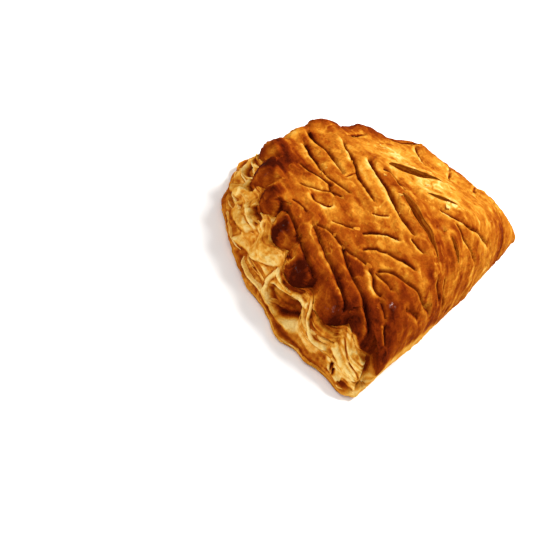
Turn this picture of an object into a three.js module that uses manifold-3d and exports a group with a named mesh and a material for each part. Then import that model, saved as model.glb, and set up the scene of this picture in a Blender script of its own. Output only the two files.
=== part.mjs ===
// Turnover pastry: an oval of puff pastry folded over a fruit filling.
// Millimetres, +Z up. +X runs along the straight fold, +Y runs from the fold
// towards the fluted cut edge, and the origin is the middle of the flat base.
// Inside the functions, "deep" is the distance from the fold line along +Y.

import * as THREE from 'three';
import Module from 'manifold-3d';
import { mergeVertices } from 'three/addons/utils/BufferGeometryUtils.js';

// ---- Driving sizes -------------------------------------------------------

const FOLD_LENGTH = 135;        // corner to corner along the fold
const DEPTH = 84;               // fold to the tips of the fluted edge
const FOLD_BOW = 2.5;           // the fold bulges this far past its chord
const FOLD_Y = -41;             // where the fold's chord lies in the frame

const CROWN_HEIGHT = 34;        // top of the dome
const CROWN_FALL = 9;           // the dome is this much lower at the thin end
const CROWN_REACH = 0.8;        // share of the way in at which the dome is full
const RIM_HEIGHT = 21.6;        // top sheet's edge along the middle of the arc
const RIM_FALL_NEAR = 4.5;      // the rim drops this far at the near corner
const RIM_SETTLE = 1.8;         // the far half of the rim lies this much lower
const RIM_FALL_FAR = 9.5;       // and it drops this much more at the thin corner

const NOSE_RADIUS = 16;         // rounding of the fold over the top
const NOSE_HEIGHT = 9;          // widest line of the fold
const NOSE_UNDER = 6;           // how far the fold curls in underneath
const NEAR_FULLNESS = 0.75;     // at the near corner it curls in this much less
const NEAR_FULL_REACH = 12;

// Finger-pressed lobes of the cut edge, by distance along it from the near
// corner to each tip. The eighth is a weak one between two deep valleys.
const LOBE_TIPS = [3.6, 22.2, 41, 58, 73.5, 90, 107, 124, 139, 163, 186, 207, 222, 236];
const WEAK_LOBE = 124;
const LOBE_VALLEY = 4.2;        // the top sheet is pressed in this far
const VALLEY_WIDTH = 1.25;      // higher makes the valleys narrower
const FLUTE_DEPTH = 1.3;        // drop of the flute that a finger leaves
const FLUTE_REACH = 0.12;       // how far in it runs, as a share of the depth
const FAR_FLUTES = 0.7;         // the flutes of the far half are this much weaker
const LOBE_PUFF = 0.8;          // the lobes are puffed up by this much
const EDGE_ROLL = 1.8;          // the top sheet's edge rolls over by this much
const EDGE_ROLL_REACH = 0.09;

// Heights on the cut edge as shares of its own height, with how far each
// stands back from the tips, and how much of the lobes' wave it follows.
// From the bottom: the lower sheet's lip, its ledge, two bundles of thin
// layers, and the rounded edge of the top sheet.
const EDGE_LAYERS = [
  { high: 0.0, back: 1.0, wave: 0.1 },
  { high: 0.04, back: -0.7, wave: 0.1 },
  { high: 0.13, back: -1.6, wave: 0.13 },
  { high: 0.2, back: -0.9, wave: 0.2 },
  { high: 0.23, back: 0.6, wave: 0.6, gap: 1.0 },
  { high: 0.265, back: 1.2, wave: 1.15, gap: 1.0 },
  { high: 0.34, back: 0.3, wave: 1.3 },
  { high: 0.42, back: 1.3, wave: 1.35 },
  { high: 0.48, back: 0.9, wave: 1.3 },
  { high: 0.57, back: 2.0, wave: 1.25 },
  { high: 0.63, back: 3.4, wave: 1.1 },
  { high: 0.69, back: 2.5, wave: 1.0 },
  { high: 0.8, back: 2.3, wave: 1.0 },
  { high: 0.92, back: 3.0, wave: 1.0 },
  { high: 1.0, back: 4.8, wave: 1.0 },
];
const EDGE_BACK = EDGE_LAYERS[EDGE_LAYERS.length - 1].back;
const CORNER_GAP = 2.6;         // the sheets stand apart at both corners
const CORNER_GAP_REACH = 6;
const CORNER_ROUND = 2.2;       // and the corners themselves are rounded off
const CORNER_ROUND_REACH = 2.6;

// Places along the edge where the top sheet shrank back from the layers.
const SHRUNK = [
  { place: 0, much: 5.5, wide: 12 },
  { place: 58, much: 2, wide: 7 },
  { place: 76, much: 1.2, wide: 8 },
  { place: 238.7, much: 3.5, wide: 9 },
];
const SHRINK_FROM = 0.3;        // this share of the height is where it starts
const SHRINK_FULL = 0.75;

// Places along the edge where the rim baked higher or lower than the rest.
const RIM_RISES = [
  { place: 139, much: 1.8, wide: 7 },
  { place: 163, much: 0.8, wide: 8 },
  { place: 186, much: 2.2, wide: 10 },
  { place: 227, much: -2.6, wide: 9 },
];
const RIM_RISE_REACH = 0.2;     // how far in the rise runs, as a share of the depth

// Places along the edge where the lower sheet's lip bulges out.
const LIP_BULGES = [
  { place: 6, much: 1.4, wide: 3 },
  { place: 20.5, much: 1.6, wide: 3.4 },
  { place: 32, much: 4.4, wide: 5.5 },
  { place: 52, much: 1.2, wide: 5 },
  { place: 88, much: 1.0, wide: 6 },
  { place: 118, much: 1.2, wide: 5 },
  { place: 150, much: 1.4, wide: 6 },
  { place: 181, much: 1.2, wide: 5 },
  { place: 214, much: 1.2, wide: 5 },
];
const LIP_TOP = 0.12;           // share of the height up to which the lip is full
const LIP_BLEND = 0.14;

// Hollows under the lobes: place along the edge, half width, the lowest and
// highest share of the edge's height, and depth.
const HOLLOWS = [
  { place: 37.5, wide: 7, low: 0.18, high: 0.47, depth: 2.6 },
  { place: 91, wide: 3, low: 0.5, high: 0.64, depth: 1.6 },
  { place: 107, wide: 4, low: 0.3, high: 0.5, depth: 1.4 },
  { place: 124, wide: 3, low: 0.28, high: 0.46, depth: 1.4 },
  { place: 139, wide: 4, low: 0.3, high: 0.5, depth: 1.4 },
  { place: 186, wide: 4, low: 0.28, high: 0.48, depth: 1.4 },
  { place: 207, wide: 4, low: 0.28, high: 0.46, depth: 1.4 },
];
const HOLLOW_BLEND = 4;         // along the edge, a hollow eases in over this

// Folds of the pressed layers that hang from the valleys like drapery. The
// crest of each is a line of [place along the edge, share of the height].
const DRAPES = [
  { crest: [[11.5, 0.7], [8, 0.55], [2.5, 0.45]], rise: 1.6, wide: 1.6 },
  { crest: [[12.5, 0.3], [7, 0.24], [1, 0.21]], rise: 1.3, wide: 1.8 },
  { crest: [[30.5, 0.74], [28, 0.59], [25, 0.43], [20, 0.35], [14.5, 0.4]], rise: 1.5, wide: 1.6 },
  { crest: [[47.5, 0.56], [47.8, 0.41], [46.5, 0.24], [41, 0.18]], rise: 1.4, wide: 1.6 },
  { crest: [[71, 0.2], [63.5, 0.25], [55, 0.41], [47.5, 0.57]], rise: 1.3, wide: 2.4 },
  { crest: [[66, 0.45], [60, 0.5], [54, 0.57], [50, 0.62]], rise: 0.9, wide: 2.8 },
  { crest: [[86, 0.34], [83, 0.27], [74, 0.35], [68, 0.38]], rise: 1.7, wide: 1.7 },
  { crest: [[83, 0.42], [77, 0.49], [69, 0.46]], rise: 1.2, wide: 1.6 },
  { crest: [[100, 0.24], [95, 0.28], [90, 0.36], [87, 0.44]], rise: 1.8, wide: 2.2 },
];
// Behind the ones that differ, each lobe of the far half has one like this,
// given from the foot of the valley before it.
const FIRST_LIKE_DRAPE = 6;
const LIKE_DRAPE = [[0, 0.7], [-2, 0.55], [-5, 0.44], [-9, 0.37], [-14, 0.36]];
const LIKE_RISE = 1.3;
const LIKE_WIDE = 1.6;
const DRAPE_HEIGHT = 20;        // mm of height that a whole share stands for
const DRAPE_OUT = 0.86;         // a drape stands out this much of its rise
const DRAPE_UP = 0.36;          // and this much of it upwards

// Valleys in which the ledge of the lower sheet lies open. In the others the
// low layers run straight past the valley and cover it.
const LEDGES = [35, 63, 98, 131, 174, 214];
const LEDGE_WIDE = 7.5;
const LEDGE_COVERED = 0.2;

// Slashes that opened right through the top sheet in the oven.
// Each is a line of [along the fold, deep] points, with its widest opening.
// Below 1, the skew draws the widest place towards the line's start.
const SLITS = [
  { line: [[11.5, 45], [13, 41.5], [15, 37.5], [18.5, 34], [23, 31], [28.5, 28]], width: 5.8, skew: 0.7 },
  { line: [[5, 27.5], [6.2, 24], [7.6, 21], [9.6, 17]], width: 2.6, skew: 1 },
  { line: [[-3.5, 33], [-9.5, 25.5], [-15, 17], [-18, 13.5], [-22, 7.5]], width: 3.6, skew: 0.75 },
  { line: [[-7.7, 11], [-9, 8], [-9.8, 5.8], [-10.3, 3.4]], width: 2.4, skew: 1 },
];

const LIP_RISE = 0.9;           // the lips of an opened slash curl up
const LIP_WIDTH = 2.6;

// Knife scores that stayed closed, in the pattern of a leaf. The last one is
// the crack that crosses the far end of the fold.
const SCORES = [
  { line: [[-38.5, 58.5], [-43, 51], [-49, 42.5], [-55, 35.5], [-57.5, 30]], width: 3, depth: 1.7 },
  { line: [[-38.5, 48], [-44, 40], [-49.5, 33], [-58, 21], [-61, 18.5]], width: 2.2, depth: 1.4 },
  { line: [[-41.5, 34], [-49, 24], [-54, 16], [-59, 10], [-62, 7.5]], width: 2.4, depth: 1.5 },
  { line: [[-39, 28.5], [-35.5, 26], [-34, 21.5], [-32.5, 10]], width: 2, depth: 1.2 },
  { line: [[-43, 20.5], [-40, 17], [-39, 11], [-37, 5], [-34.5, 2]], width: 2, depth: 1.2 },
  { line: [[-32.5, 32.5], [-30, 29.5], [-26, 21]], width: 1.9, depth: 1.1 },
  { line: [[8, 74.5], [4.5, 71], [0.5, 64.5], [-4.5, 58], [-11, 51.5]], width: 2.3, depth: 1.5 },
  { line: [[-1, 71.5], [-4.5, 68], [-13, 59], [-15.5, 56]], width: 2, depth: 1.2 },
  { line: [[-26.5, 60.5], [-24.5, 54], [-22, 49], [-22, 46]], width: 1.9, depth: 1.1 },
  { line: [[13, 63.5], [6, 58.5], [-4, 50.5], [-9.5, 45.5], [-17, 36]], width: 2.2, depth: 1.4 },
  { line: [[8.5, 52], [2.5, 47.5], [-3, 41], [-12, 32], [-21, 18.5]], width: 2.5, depth: 1.6 },
  { line: [[5, 45], [6, 41.5], [4, 38], [-2, 32.5]], width: 1.8, depth: 0.9 },
  { line: [[2.5, 12], [5, 9], [9, 6.5], [13.5, 4], [20, 1.5]], width: 2, depth: 1.3 },
  { line: [[-15, 56], [-16.5, 53], [-18, 44.5]], width: 1.8, depth: 0.9 },
  { line: [[46, 12], [43, 7], [41, 3.5], [39.5, 1.5]], width: 3, depth: 2.2 },
];

const TOP_SHEET = 3;            // thickness of the top sheet over the filling
const BOTTOM_SHEET = 4.6;       // and of the sheet underneath
const SEAL_SHARE = 0.2;         // the pressed seal, as a share of the way in
const FOLD_WALL = 5;            // thickness of dough at the fold
const CLEARANCE = 0.35;         // between the filling and the dough
const FILLING_SAG = 0.35;       // the filling has shrunk away from the roof
const FILLING_LUMP = 0.8;       // pieces of fruit standing in it

// ---- How finely the surfaces are drawn -----------------------------------

const COLUMNS_PER_LOBE = 9;
const FOLD_COLUMNS = 28;
const TOP_STEPS = [0.022, 0.05, 0.085, 0.13, 0.18, 0.24, 0.31, 0.39, 0.48, 0.58, 0.69, 0.81, 0.92];
const CAVITY_COLUMNS = 48;
const CAVITY_STEPS = [0.03, 0.08, 0.16, 0.28, 0.44, 0.62, 0.82];
const CENTRE_DEEP = 37;         // the rings of the surface close on this point
const FLAT_WITHIN = 0.06;       // points that lie flat to within this are dropped

const HALF = FOLD_LENGTH / 2;

// ---- Small helpers -------------------------------------------------------

const clamp = (value, low, high) => Math.min(high, Math.max(low, value));
const mix = (a, b, t) => a + (b - a) * t;

function ease(t) {
  const c = clamp(t, 0, 1);
  return c * c * (3 - 2 * c);
}

// Length of the cut edge, measured out once in small steps.
const ARC_STEPS = 720;
const arcTable = [0];
for (let i = 1; i <= ARC_STEPS; i += 1) {
  const a0 = (Math.PI * (i - 1)) / ARC_STEPS;
  const a1 = (Math.PI * i) / ARC_STEPS;
  const dx = HALF * (Math.cos(a0) - Math.cos(a1));
  const dy = DEPTH * (Math.sin(a1) - Math.sin(a0));
  arcTable.push(arcTable[i - 1] + Math.hypot(dx, dy));
}
const ARC_LENGTH = arcTable[ARC_STEPS];

function arcFromAngle(angle) {
  const t = clamp(angle / Math.PI, 0, 1) * ARC_STEPS;
  const i = Math.min(ARC_STEPS - 1, Math.floor(t));
  return mix(arcTable[i], arcTable[i + 1], t - i);
}

function angleFromArc(length) {
  let i = 0;
  while (i < ARC_STEPS - 1 && arcTable[i + 1] < length) {
    i += 1;
  }
  const t = (length - arcTable[i]) / (arcTable[i + 1] - arcTable[i]);
  return (Math.PI * (i + clamp(t, 0, 1))) / ARC_STEPS;
}

// ---- The shape of the pastry ---------------------------------------------

// 0 on the line of the lobes' tips, 1 in the middle of the fold.
function wayIn(x, deep) {
  return 1 - Math.hypot(x / HALF, Math.max(deep, 0) / DEPTH);
}

function arcAt(x, deep) {
  return arcFromAngle(Math.atan2(Math.max(deep, 0) / DEPTH, -x / HALF));
}

// 0 at the tip of a lobe, 1 in the bottom of a valley.
function valley(length) {
  let i = 0;
  while (i < LOBE_TIPS.length - 1 && LOBE_TIPS[i + 1] < length) {
    i += 1;
  }
  const from = LOBE_TIPS[i];
  const to = i < LOBE_TIPS.length - 1 ? LOBE_TIPS[i + 1] : 2 * ARC_LENGTH - from;
  if (length < from) {
    return 0;
  }
  const cosine = Math.cos((Math.PI * (length - from)) / (to - from));
  const wave = (1.02 - Math.sqrt(cosine ** 2 + 0.0004)) ** VALLEY_WIDTH;
  const weak = Math.exp(-(((length - WEAK_LOBE) / 8) ** 2));
  const strength = mix(1, FAR_FLUTES, ease((length - 135) / 30));
  return strength * Math.min(1, mix(wave, 0.85, 0.8 * weak));
}

// The sum of smooth bumps, each with its place along the edge, size and width.
function bumps(list, length) {
  let sum = 0;
  for (const { place, much, wide } of list) {
    sum += much * Math.exp(-(((length - place) / wide) ** 2));
  }
  return sum;
}

// How far the top sheet shrank back at this place along the edge.
function shrunk(length) {
  return bumps(SHRUNK, length);
}

// How far the lower sheet's lip bulges out at this share of the height.
function lipBulge(share, length) {
  return bumps(LIP_BULGES, length) * (1 - ease((share - LIP_TOP) / LIP_BLEND));
}

// How deep the hollows under the lobes are at this share of the height.
function hollowed(share, length) {
  let deepest = 0;
  for (const { place, wide, low, high, depth } of HOLLOWS) {
    const across = 1 - ease((Math.abs(length - place) - wide) / HOLLOW_BLEND);
    const level = ease((share - low) / 0.06) * (1 - ease((share - high) / 0.06));
    deepest = Math.max(deepest, depth * across * level);
  }
  return deepest;
}

// Low down, the layers follow the valleys only where a ledge lies open.
function lowWave(share, length) {
  let open = 0;
  for (const place of LEDGES) {
    open = Math.max(open, Math.exp(-(((length - place) / LEDGE_WIDE) ** 2)));
  }
  return mix(mix(LEDGE_COVERED, 1, open), 1, ease((share - 0.32) / 0.24));
}

function rimHeight(x) {
  const near = RIM_FALL_NEAR * (1 - ease((x + 70) / 32));
  const far = RIM_FALL_FAR * ease((x - 47) / 24);
  return RIM_HEIGHT - near - far - RIM_SETTLE * ease((x - 14) / 20);
}

// Distance on the plan from a point to a line of points.
function distanceTo(line, x, deep) {
  let nearest = Infinity;
  for (let i = 0; i < line.length - 1; i += 1) {
    const [ax, ad] = line[i];
    const wx = line[i + 1][0] - ax;
    const wd = line[i + 1][1] - ad;
    const t = clamp(((x - ax) * wx + (deep - ad) * wd) / (wx * wx + wd * wd), 0, 1);
    nearest = Math.min(nearest, Math.hypot(x - ax - t * wx, deep - ad - t * wd));
  }
  return nearest;
}

// Every drape of the edge, its crest as a line in mm both ways.
const allDrapes = [...DRAPES];
for (let i = FIRST_LIKE_DRAPE; i < LOBE_TIPS.length - 1; i += 1) {
  const foot = (LOBE_TIPS[i] + LOBE_TIPS[i + 1]) / 2;
  const crest = LIKE_DRAPE.map(([step, share]) => [foot + step, share]);
  allDrapes.push({ crest, rise: LIKE_RISE, wide: LIKE_WIDE });
}
const drapeLines = allDrapes.map(({ crest, rise, wide }) => {
  const line = crest.map(([place, share]) => [place, share * DRAPE_HEIGHT]);
  return { line, rise, wide };
});

// How far the drapes stand out at this share of the height.
function draped(share, length) {
  let out = 0;
  for (const { line, rise, wide } of drapeLines) {
    const away = distanceTo(line, length, share * DRAPE_HEIGHT) / wide;
    out = Math.max(out, rise * Math.max(0, 1 - away ** 2) ** 0.7);
  }
  return out;
}

function lips(x, deep) {
  let rise = 0;
  for (const { line, width } of SLITS) {
    const away = (distanceTo(line, x, deep) - width / 2) / LIP_WIDTH;
    rise = Math.max(rise, LIP_RISE * Math.exp(-(away ** 2)));
  }
  return rise;
}

// Slow swells of the baked dough.
function swell(x, deep) {
  const a = Math.sin(0.11 * x + 0.07 * deep + 0.6);
  const b = Math.sin(0.17 * x - 0.13 * deep + 2.1);
  const c = Math.sin(0.05 * x + 0.19 * deep + 4.2);
  return 0.28 * a + 0.24 * b + 0.22 * c;
}

function plainTop(x, deep) {
  const inward = clamp(wayIn(x, deep), 0, 1);
  const rim = rimHeight(x);
  const crown = CROWN_HEIGHT - CROWN_FALL * ease((x - 5) / 62);
  const rise = Math.sin((Math.PI / 2) * Math.min(1, inward / CROWN_REACH)) ** 1.2;
  const pressed = valley(arcAt(x, deep));
  const flute = FLUTE_DEPTH * pressed * Math.exp(-((inward / FLUTE_REACH) ** 2));
  const puff = LOBE_PUFF * (1 - pressed) * Math.exp(-(((inward - 0.07) / 0.05) ** 2));
  const roll = EDGE_ROLL * (1 - ease(inward / EDGE_ROLL_REACH));
  const raised = bumps(RIM_RISES, arcAt(x, deep)) * Math.exp(-((inward / RIM_RISE_REACH) ** 2));
  const uneven = swell(x, deep) * ease(inward / 0.2) + lips(x, deep);
  return rim + (crown - rim) * rise - flute + puff - roll + raised + uneven;
}

// Height of the top of the pastry over a point of the plan.
function topHeight(x, deep) {
  const full = plainTop(x, deep);
  const fromFold = deep + FOLD_BOW * (1 - (x / HALF) ** 2);
  const k = clamp(1 - fromFold / NOSE_RADIUS, 0, 1);
  const nose = Math.min(NOSE_HEIGHT, full / 2);
  return nose + (full - nose) * Math.sqrt(1 - k * k);
}

// ---- Bodies made of rings ------------------------------------------------

// Rings of [x, y, z] points from the middle of the base to the middle of the
// top, each with the same count, closed by one point at either end.
function ringBody(baseMiddle, rings, topMiddle) {
  const count = rings[0].length;
  const points = [baseMiddle, ...rings.flat(), topMiddle];
  const faces = [];
  const at = (ring, column) => 1 + ring * count + (column % count);
  for (let c = 0; c < count; c += 1) {
    faces.push(0, at(0, c), at(0, c + 1));
    for (let r = 0; r < rings.length - 1; r += 1) {
      faces.push(at(r, c), at(r + 1, c), at(r + 1, c + 1));
      faces.push(at(r, c), at(r + 1, c + 1), at(r, c + 1));
    }
    faces.push(at(rings.length - 1, c), points.length - 1, at(rings.length - 1, c + 1));
  }
  const geometry = new THREE.BufferGeometry();
  geometry.setAttribute('position', new THREE.Float32BufferAttribute(points.flat(), 3));
  geometry.setIndex(faces);
  return geometry;
}

// Where each column of the crust stands on the plan, going round clockwise:
// along the cut edge from the near corner, then back along the fold.
function crustColumns() {
  const columns = [];
  const stops = [0, ...LOBE_TIPS.slice(1), ARC_LENGTH];
  for (let i = 0; i < stops.length - 1; i += 1) {
    const steps = i < stops.length - 2 ? COLUMNS_PER_LOBE : 3;
    for (let s = 0; s < steps; s += 1) {
      const length = mix(stops[i], stops[i + 1], s / steps);
      const angle = angleFromArc(length);
      columns.push({ x: -HALF * Math.cos(angle), deep: DEPTH * Math.sin(angle), length, fold: 0 });
    }
  }
  for (let s = 0; s < FOLD_COLUMNS; s += 1) {
    const x = HALF * Math.cos((Math.PI * s) / FOLD_COLUMNS);
    const deep = -FOLD_BOW * (1 - (x / HALF) ** 2);
    const length = x > 0 ? ARC_LENGTH : 0;
    columns.push({ x, deep, length, fold: ease((HALF - Math.abs(x)) / 7) });
  }
  return columns;
}

// A point standing back from the plan's outline, towards the centre.
function standBack(column, back) {
  const dx = -column.x;
  const dd = CENTRE_DEEP - column.deep;
  const far = Math.hypot(dx, dd);
  return [column.x + (dx * back) / far, column.deep + (dd * back) / far];
}

function makeCrust() {
  const columns = crustColumns();
  const pressedIn = (column) => LOBE_VALLEY * valley(column.length);
  const topEdge = (column) => {
    const back = EDGE_BACK + pressedIn(column) + shrunk(column.length);
    return standBack(column, back * (1 - column.fold));
  };
  const rings = [];
  for (const step of [0.45, 0.85]) {
    rings.push(columns.map((column) => {
      const [x, deep] = standBack(column, NOSE_UNDER);
      return [x * step, mix(CENTRE_DEEP, deep, step) + FOLD_Y, 0];
    }));
  }
  for (const layer of EDGE_LAYERS) {
    const shrinking = ease((layer.high - SHRINK_FROM) / (SHRINK_FULL - SHRINK_FROM));
    rings.push(columns.map((column) => {
      const fromCorner = Math.min(column.length, ARC_LENGTH - column.length);
      const apart = CORNER_GAP * Math.exp(-((fromCorner / CORNER_GAP_REACH) ** 2));
      const rounded = CORNER_ROUND * Math.exp(-((fromCorner / CORNER_ROUND_REACH) ** 2));
      const wave = pressedIn(column) * layer.wave * lowWave(layer.high, column.length);
      const drawn = shrunk(column.length) * shrinking + rounded;
      const hollow = hollowed(layer.high, column.length);
      const drape = draped(layer.high, column.length) * ease(1 - hollow) * ease(fromCorner / 2);
      const relief = DRAPE_OUT * drape - hollow + lipBulge(layer.high, column.length);
      const back = layer.high < 1 ? layer.back + wave + drawn + apart * (layer.gap ?? 0) - relief
        : EDGE_BACK + pressedIn(column) + shrunk(column.length);
      const fullness = 1 - NEAR_FULLNESS * Math.exp(-(((column.x + HALF) / NEAR_FULL_REACH) ** 2));
      const curl = NOSE_UNDER * fullness * (1 - Math.sqrt(1 - (1 - layer.high) ** 2));
      const [x, deep] = standBack(column, mix(back, curl, column.fold));
      const [edgeX, edgeDeep] = topEdge(column);
      const up = DRAPE_UP * drape * (1 - column.fold);
      return [x, deep + FOLD_Y, layer.high * topHeight(edgeX, edgeDeep) + up];
    }));
  }
  for (const step of TOP_STEPS) {
    rings.push(columns.map((column) => {
      const [edgeX, edgeDeep] = topEdge(column);
      const x = edgeX * (1 - step);
      const deep = mix(edgeDeep, CENTRE_DEEP, step);
      return [x, deep + FOLD_Y, topHeight(x, deep)];
    }));
  }
  const y = CENTRE_DEEP + FOLD_Y;
  return ringBody([0, y, 0], rings, [0, y, topHeight(0, CENTRE_DEEP)]);
}

// The hollow between the sheets, or with an inset the filling that lies in it.
function makeInside(inset, sag, lump) {
  const outline = [];
  for (let i = 0; i < CAVITY_COLUMNS; i += 1) {
    const turn = (2 * Math.PI * i) / CAVITY_COLUMNS;
    const across = -Math.cos(turn);
    const up = Math.sin(turn);
    const reach = 1 - SEAL_SHARE;
    const x = (HALF * reach - inset) * across;
    const nearFold = FOLD_WALL - FOLD_BOW * (1 - (x / HALF) ** 2) + inset;
    const corner = 9 * (1 - Math.abs(up) ** 0.6);
    const deep = up >= 0
      ? nearFold + corner + (DEPTH * reach - inset - nearFold - corner) * up
      : nearFold + corner;
    outline.push({ x: x * (up < 0 ? 0.985 : 1), deep });
  }
  const floor = BOTTOM_SHEET + inset;
  const rings = [];
  for (const step of [0.5, 1]) {
    rings.push(outline.map((p) => [
      p.x * step * 0.94,
      mix(CENTRE_DEEP, p.deep, step * 0.94) + FOLD_Y,
      floor,
    ]));
  }
  for (const step of CAVITY_STEPS) {
    rings.push(outline.map((p) => {
      const x = p.x * (1 - step);
      const deep = mix(p.deep, CENTRE_DEEP, step);
      const k = 1 - clamp(step / 0.28, 0, 1);
      const pieces = lump * (0.5 + 0.5 * Math.sin(0.9 * x + 1.3) * Math.sin(0.8 * deep + 0.4));
      const roof = topHeight(x, deep) - TOP_SHEET - inset - sag - pieces;
      return [x, deep + FOLD_Y, mix(floor + 3, roof, Math.sqrt(1 - k * k))];
    }));
  }
  const top = topHeight(0, CENTRE_DEEP) - TOP_SHEET - inset - sag - lump / 2;
  return ringBody([0, CENTRE_DEEP + FOLD_Y, floor], rings, [0, CENTRE_DEEP + FOLD_Y, top]);
}

// ---- Cuts ----------------------------------------------------------------

// Points at even steps along a smooth curve through the given ones.
function along(line, steps) {
  const curve = new THREE.CatmullRomCurve3(line.map(([x, deep]) => new THREE.Vector3(x, deep, 0)));
  const points = [];
  for (let i = 0; i <= steps; i += 1) {
    const at = curve.getPointAt(i / steps);
    const way = curve.getTangentAt(i / steps);
    points.push({ x: at.x, deep: at.y, side: [-way.y, way.x], t: i / steps });
  }
  return points;
}

// A lens-shaped blade that passes right through the top sheet.
function slitBlade({ line, width, skew }) {
  const points = along(line, 10);
  const left = [];
  const right = [];
  for (const p of points) {
    const half = (width / 2) * Math.sin(Math.PI * Math.min(1, p.t ** skew)) ** 0.7;
    if (half > 0.05) {
      left.push([p.x + p.side[0] * half, p.deep + p.side[1] * half]);
      right.unshift([p.x - p.side[0] * half, p.deep - p.side[1] * half]);
    }
  }
  const first = points[0];
  const last = points[points.length - 1];
  const loop = [[first.x, first.deep], ...left, [last.x, last.deep], ...right].reverse();
  const mid = points[5];
  const high = CROWN_HEIGHT + 6;
  const rings = [0, 1].map((end) => loop.map(([x, deep]) => [
    mix(mid.x, x, end ? 1.08 : 0.92),
    mix(mid.deep, deep, end ? 1.08 : 0.92) + FOLD_Y,
    end ? high : topHeight(x, deep) - TOP_SHEET - 3.5,
  ]));
  const low = topHeight(mid.x, mid.deep) - TOP_SHEET - 3.5;
  return ringBody([mid.x, mid.deep + FOLD_Y, low], rings.map((ring) => ring.reverse()),
    [mid.x, mid.deep + FOLD_Y, high]);
}

// A V-shaped groove that follows the top and runs out at both ends.
function scoreBlade({ line, width, depth }) {
  const points = along(line, 7);
  const above = 1.2;
  const sections = points.map((p) => {
    const fade = 0.25 + 0.75 * Math.sin(Math.PI * clamp(p.t, 0.02, 0.98));
    const half = (width / 2) * fade * (1 + above / depth);
    const z = topHeight(p.x, p.deep) + 0.5;
    const place = (side, lift) => {
      const x = p.x + p.side[0] * side;
      const deep = p.deep + p.side[1] * side;
      return [x, deep + FOLD_Y, z + lift];
    };
    return [place(-half, above), place(half, above), place(0, -depth * fade)];
  });
  const ends = [0, sections.length - 1].map((i) => {
    const [a, b, c] = sections[i];
    return a.map((value, axis) => (value + b[axis] + c[axis]) / 3);
  });
  return ringBody(ends[0], sections, ends[1]);
}

// ---- Assembly ------------------------------------------------------------

const wasm = await Module();
wasm.setup();

function toSolid(geometry) {
  const plain = new THREE.BufferGeometry();
  plain.setAttribute('position', geometry.getAttribute('position'));
  plain.setIndex(geometry.getIndex());
  const merged = mergeVertices(plain, 1e-4);
  const mesh = new wasm.Mesh({
    numProp: 3,
    vertProperties: new Float32Array(merged.getAttribute('position').array),
    triVerts: new Uint32Array(merged.getIndex().array),
  });
  return new wasm.Manifold(mesh);
}

function toGeometry(solid) {
  const mesh = solid.getMesh();
  const geometry = new THREE.BufferGeometry();
  geometry.setAttribute('position', new THREE.BufferAttribute(mesh.vertProperties, 3));
  geometry.setIndex(new THREE.BufferAttribute(mesh.triVerts, 1));
  geometry.computeVertexNormals();
  return geometry;
}

function makeMesh(name, solid, colour, roughness) {
  const material = new THREE.MeshStandardMaterial({ color: colour, roughness, metalness: 0 });
  const mesh = new THREE.Mesh(toGeometry(solid), material);
  mesh.name = name;
  return mesh;
}

let crust = toSolid(makeCrust());
crust = crust.subtract(toSolid(makeInside(0, 0, 0)));
for (const slit of SLITS) {
  crust = crust.subtract(toSolid(slitBlade(slit)));
}
for (const score of SCORES) {
  crust = crust.subtract(toSolid(scoreBlade(score)));
}
crust = crust.simplify(FLAT_WITHIN);
const filling = toSolid(makeInside(CLEARANCE, FILLING_SAG, FILLING_LUMP));

const group = new THREE.Group();
group.name = 'turnover';
group.add(makeMesh('crust', crust, 0xb86a24, 0.55));
group.add(makeMesh('filling', filling, 0x8a6a2a, 0.4));

export default group;
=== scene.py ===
# %% [markdown]
# # A fruit turnover in puff pastry
#
# A turnover is an oval of puff pastry folded over cooked fruit. The fold is a
# straight, rounded side. The cut edge opposite it is pressed together with the
# fingers, so it bakes into a row of lobes, and its thin layers spring apart.
# The top is brushed with egg and scored with a knife in the pattern of a leaf.
#
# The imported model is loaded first. It is the fixed frame for all that follows:
# +X runs along the fold, +Y from the fold to the lobes, and +Z is up.

# %% Load the frame
import math

import bpy
import numpy as np
from mathutils import Matrix, Vector


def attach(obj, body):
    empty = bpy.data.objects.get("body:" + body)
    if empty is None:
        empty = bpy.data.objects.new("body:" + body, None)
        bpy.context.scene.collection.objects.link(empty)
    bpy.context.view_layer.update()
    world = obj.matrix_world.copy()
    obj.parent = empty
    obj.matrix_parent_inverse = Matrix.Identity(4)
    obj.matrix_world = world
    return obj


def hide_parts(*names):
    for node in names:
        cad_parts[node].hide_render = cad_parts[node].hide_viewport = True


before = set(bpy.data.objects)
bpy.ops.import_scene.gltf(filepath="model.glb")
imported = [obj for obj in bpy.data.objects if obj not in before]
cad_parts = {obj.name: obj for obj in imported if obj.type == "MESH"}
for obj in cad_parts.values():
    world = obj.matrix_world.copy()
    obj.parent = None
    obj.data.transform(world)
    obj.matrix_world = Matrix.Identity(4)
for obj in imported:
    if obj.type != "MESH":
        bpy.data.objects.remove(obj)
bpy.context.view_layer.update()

MM = 0.001

# %% [markdown]
# ## The camera
#
# The view is from the near corner, low over the fold, with a long lens, and
# the camera is rolled a little. A camera can be aimed with a Track To
# constraint, but the roll would be lost, so its directions are written down
# and put into its matrix.

# %% Camera
CAMERA_PLACE = Vector((-492.1, -87.8, 319.1)) * MM
CAMERA_RIGHT = Vector((0.46848, -0.77160, 0.43029)).normalized()
CAMERA_AHEAD = Vector((0.80530, 0.17265, -0.56717)).normalized()
FIELD_OF_VIEW = math.radians(18.0)

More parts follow.
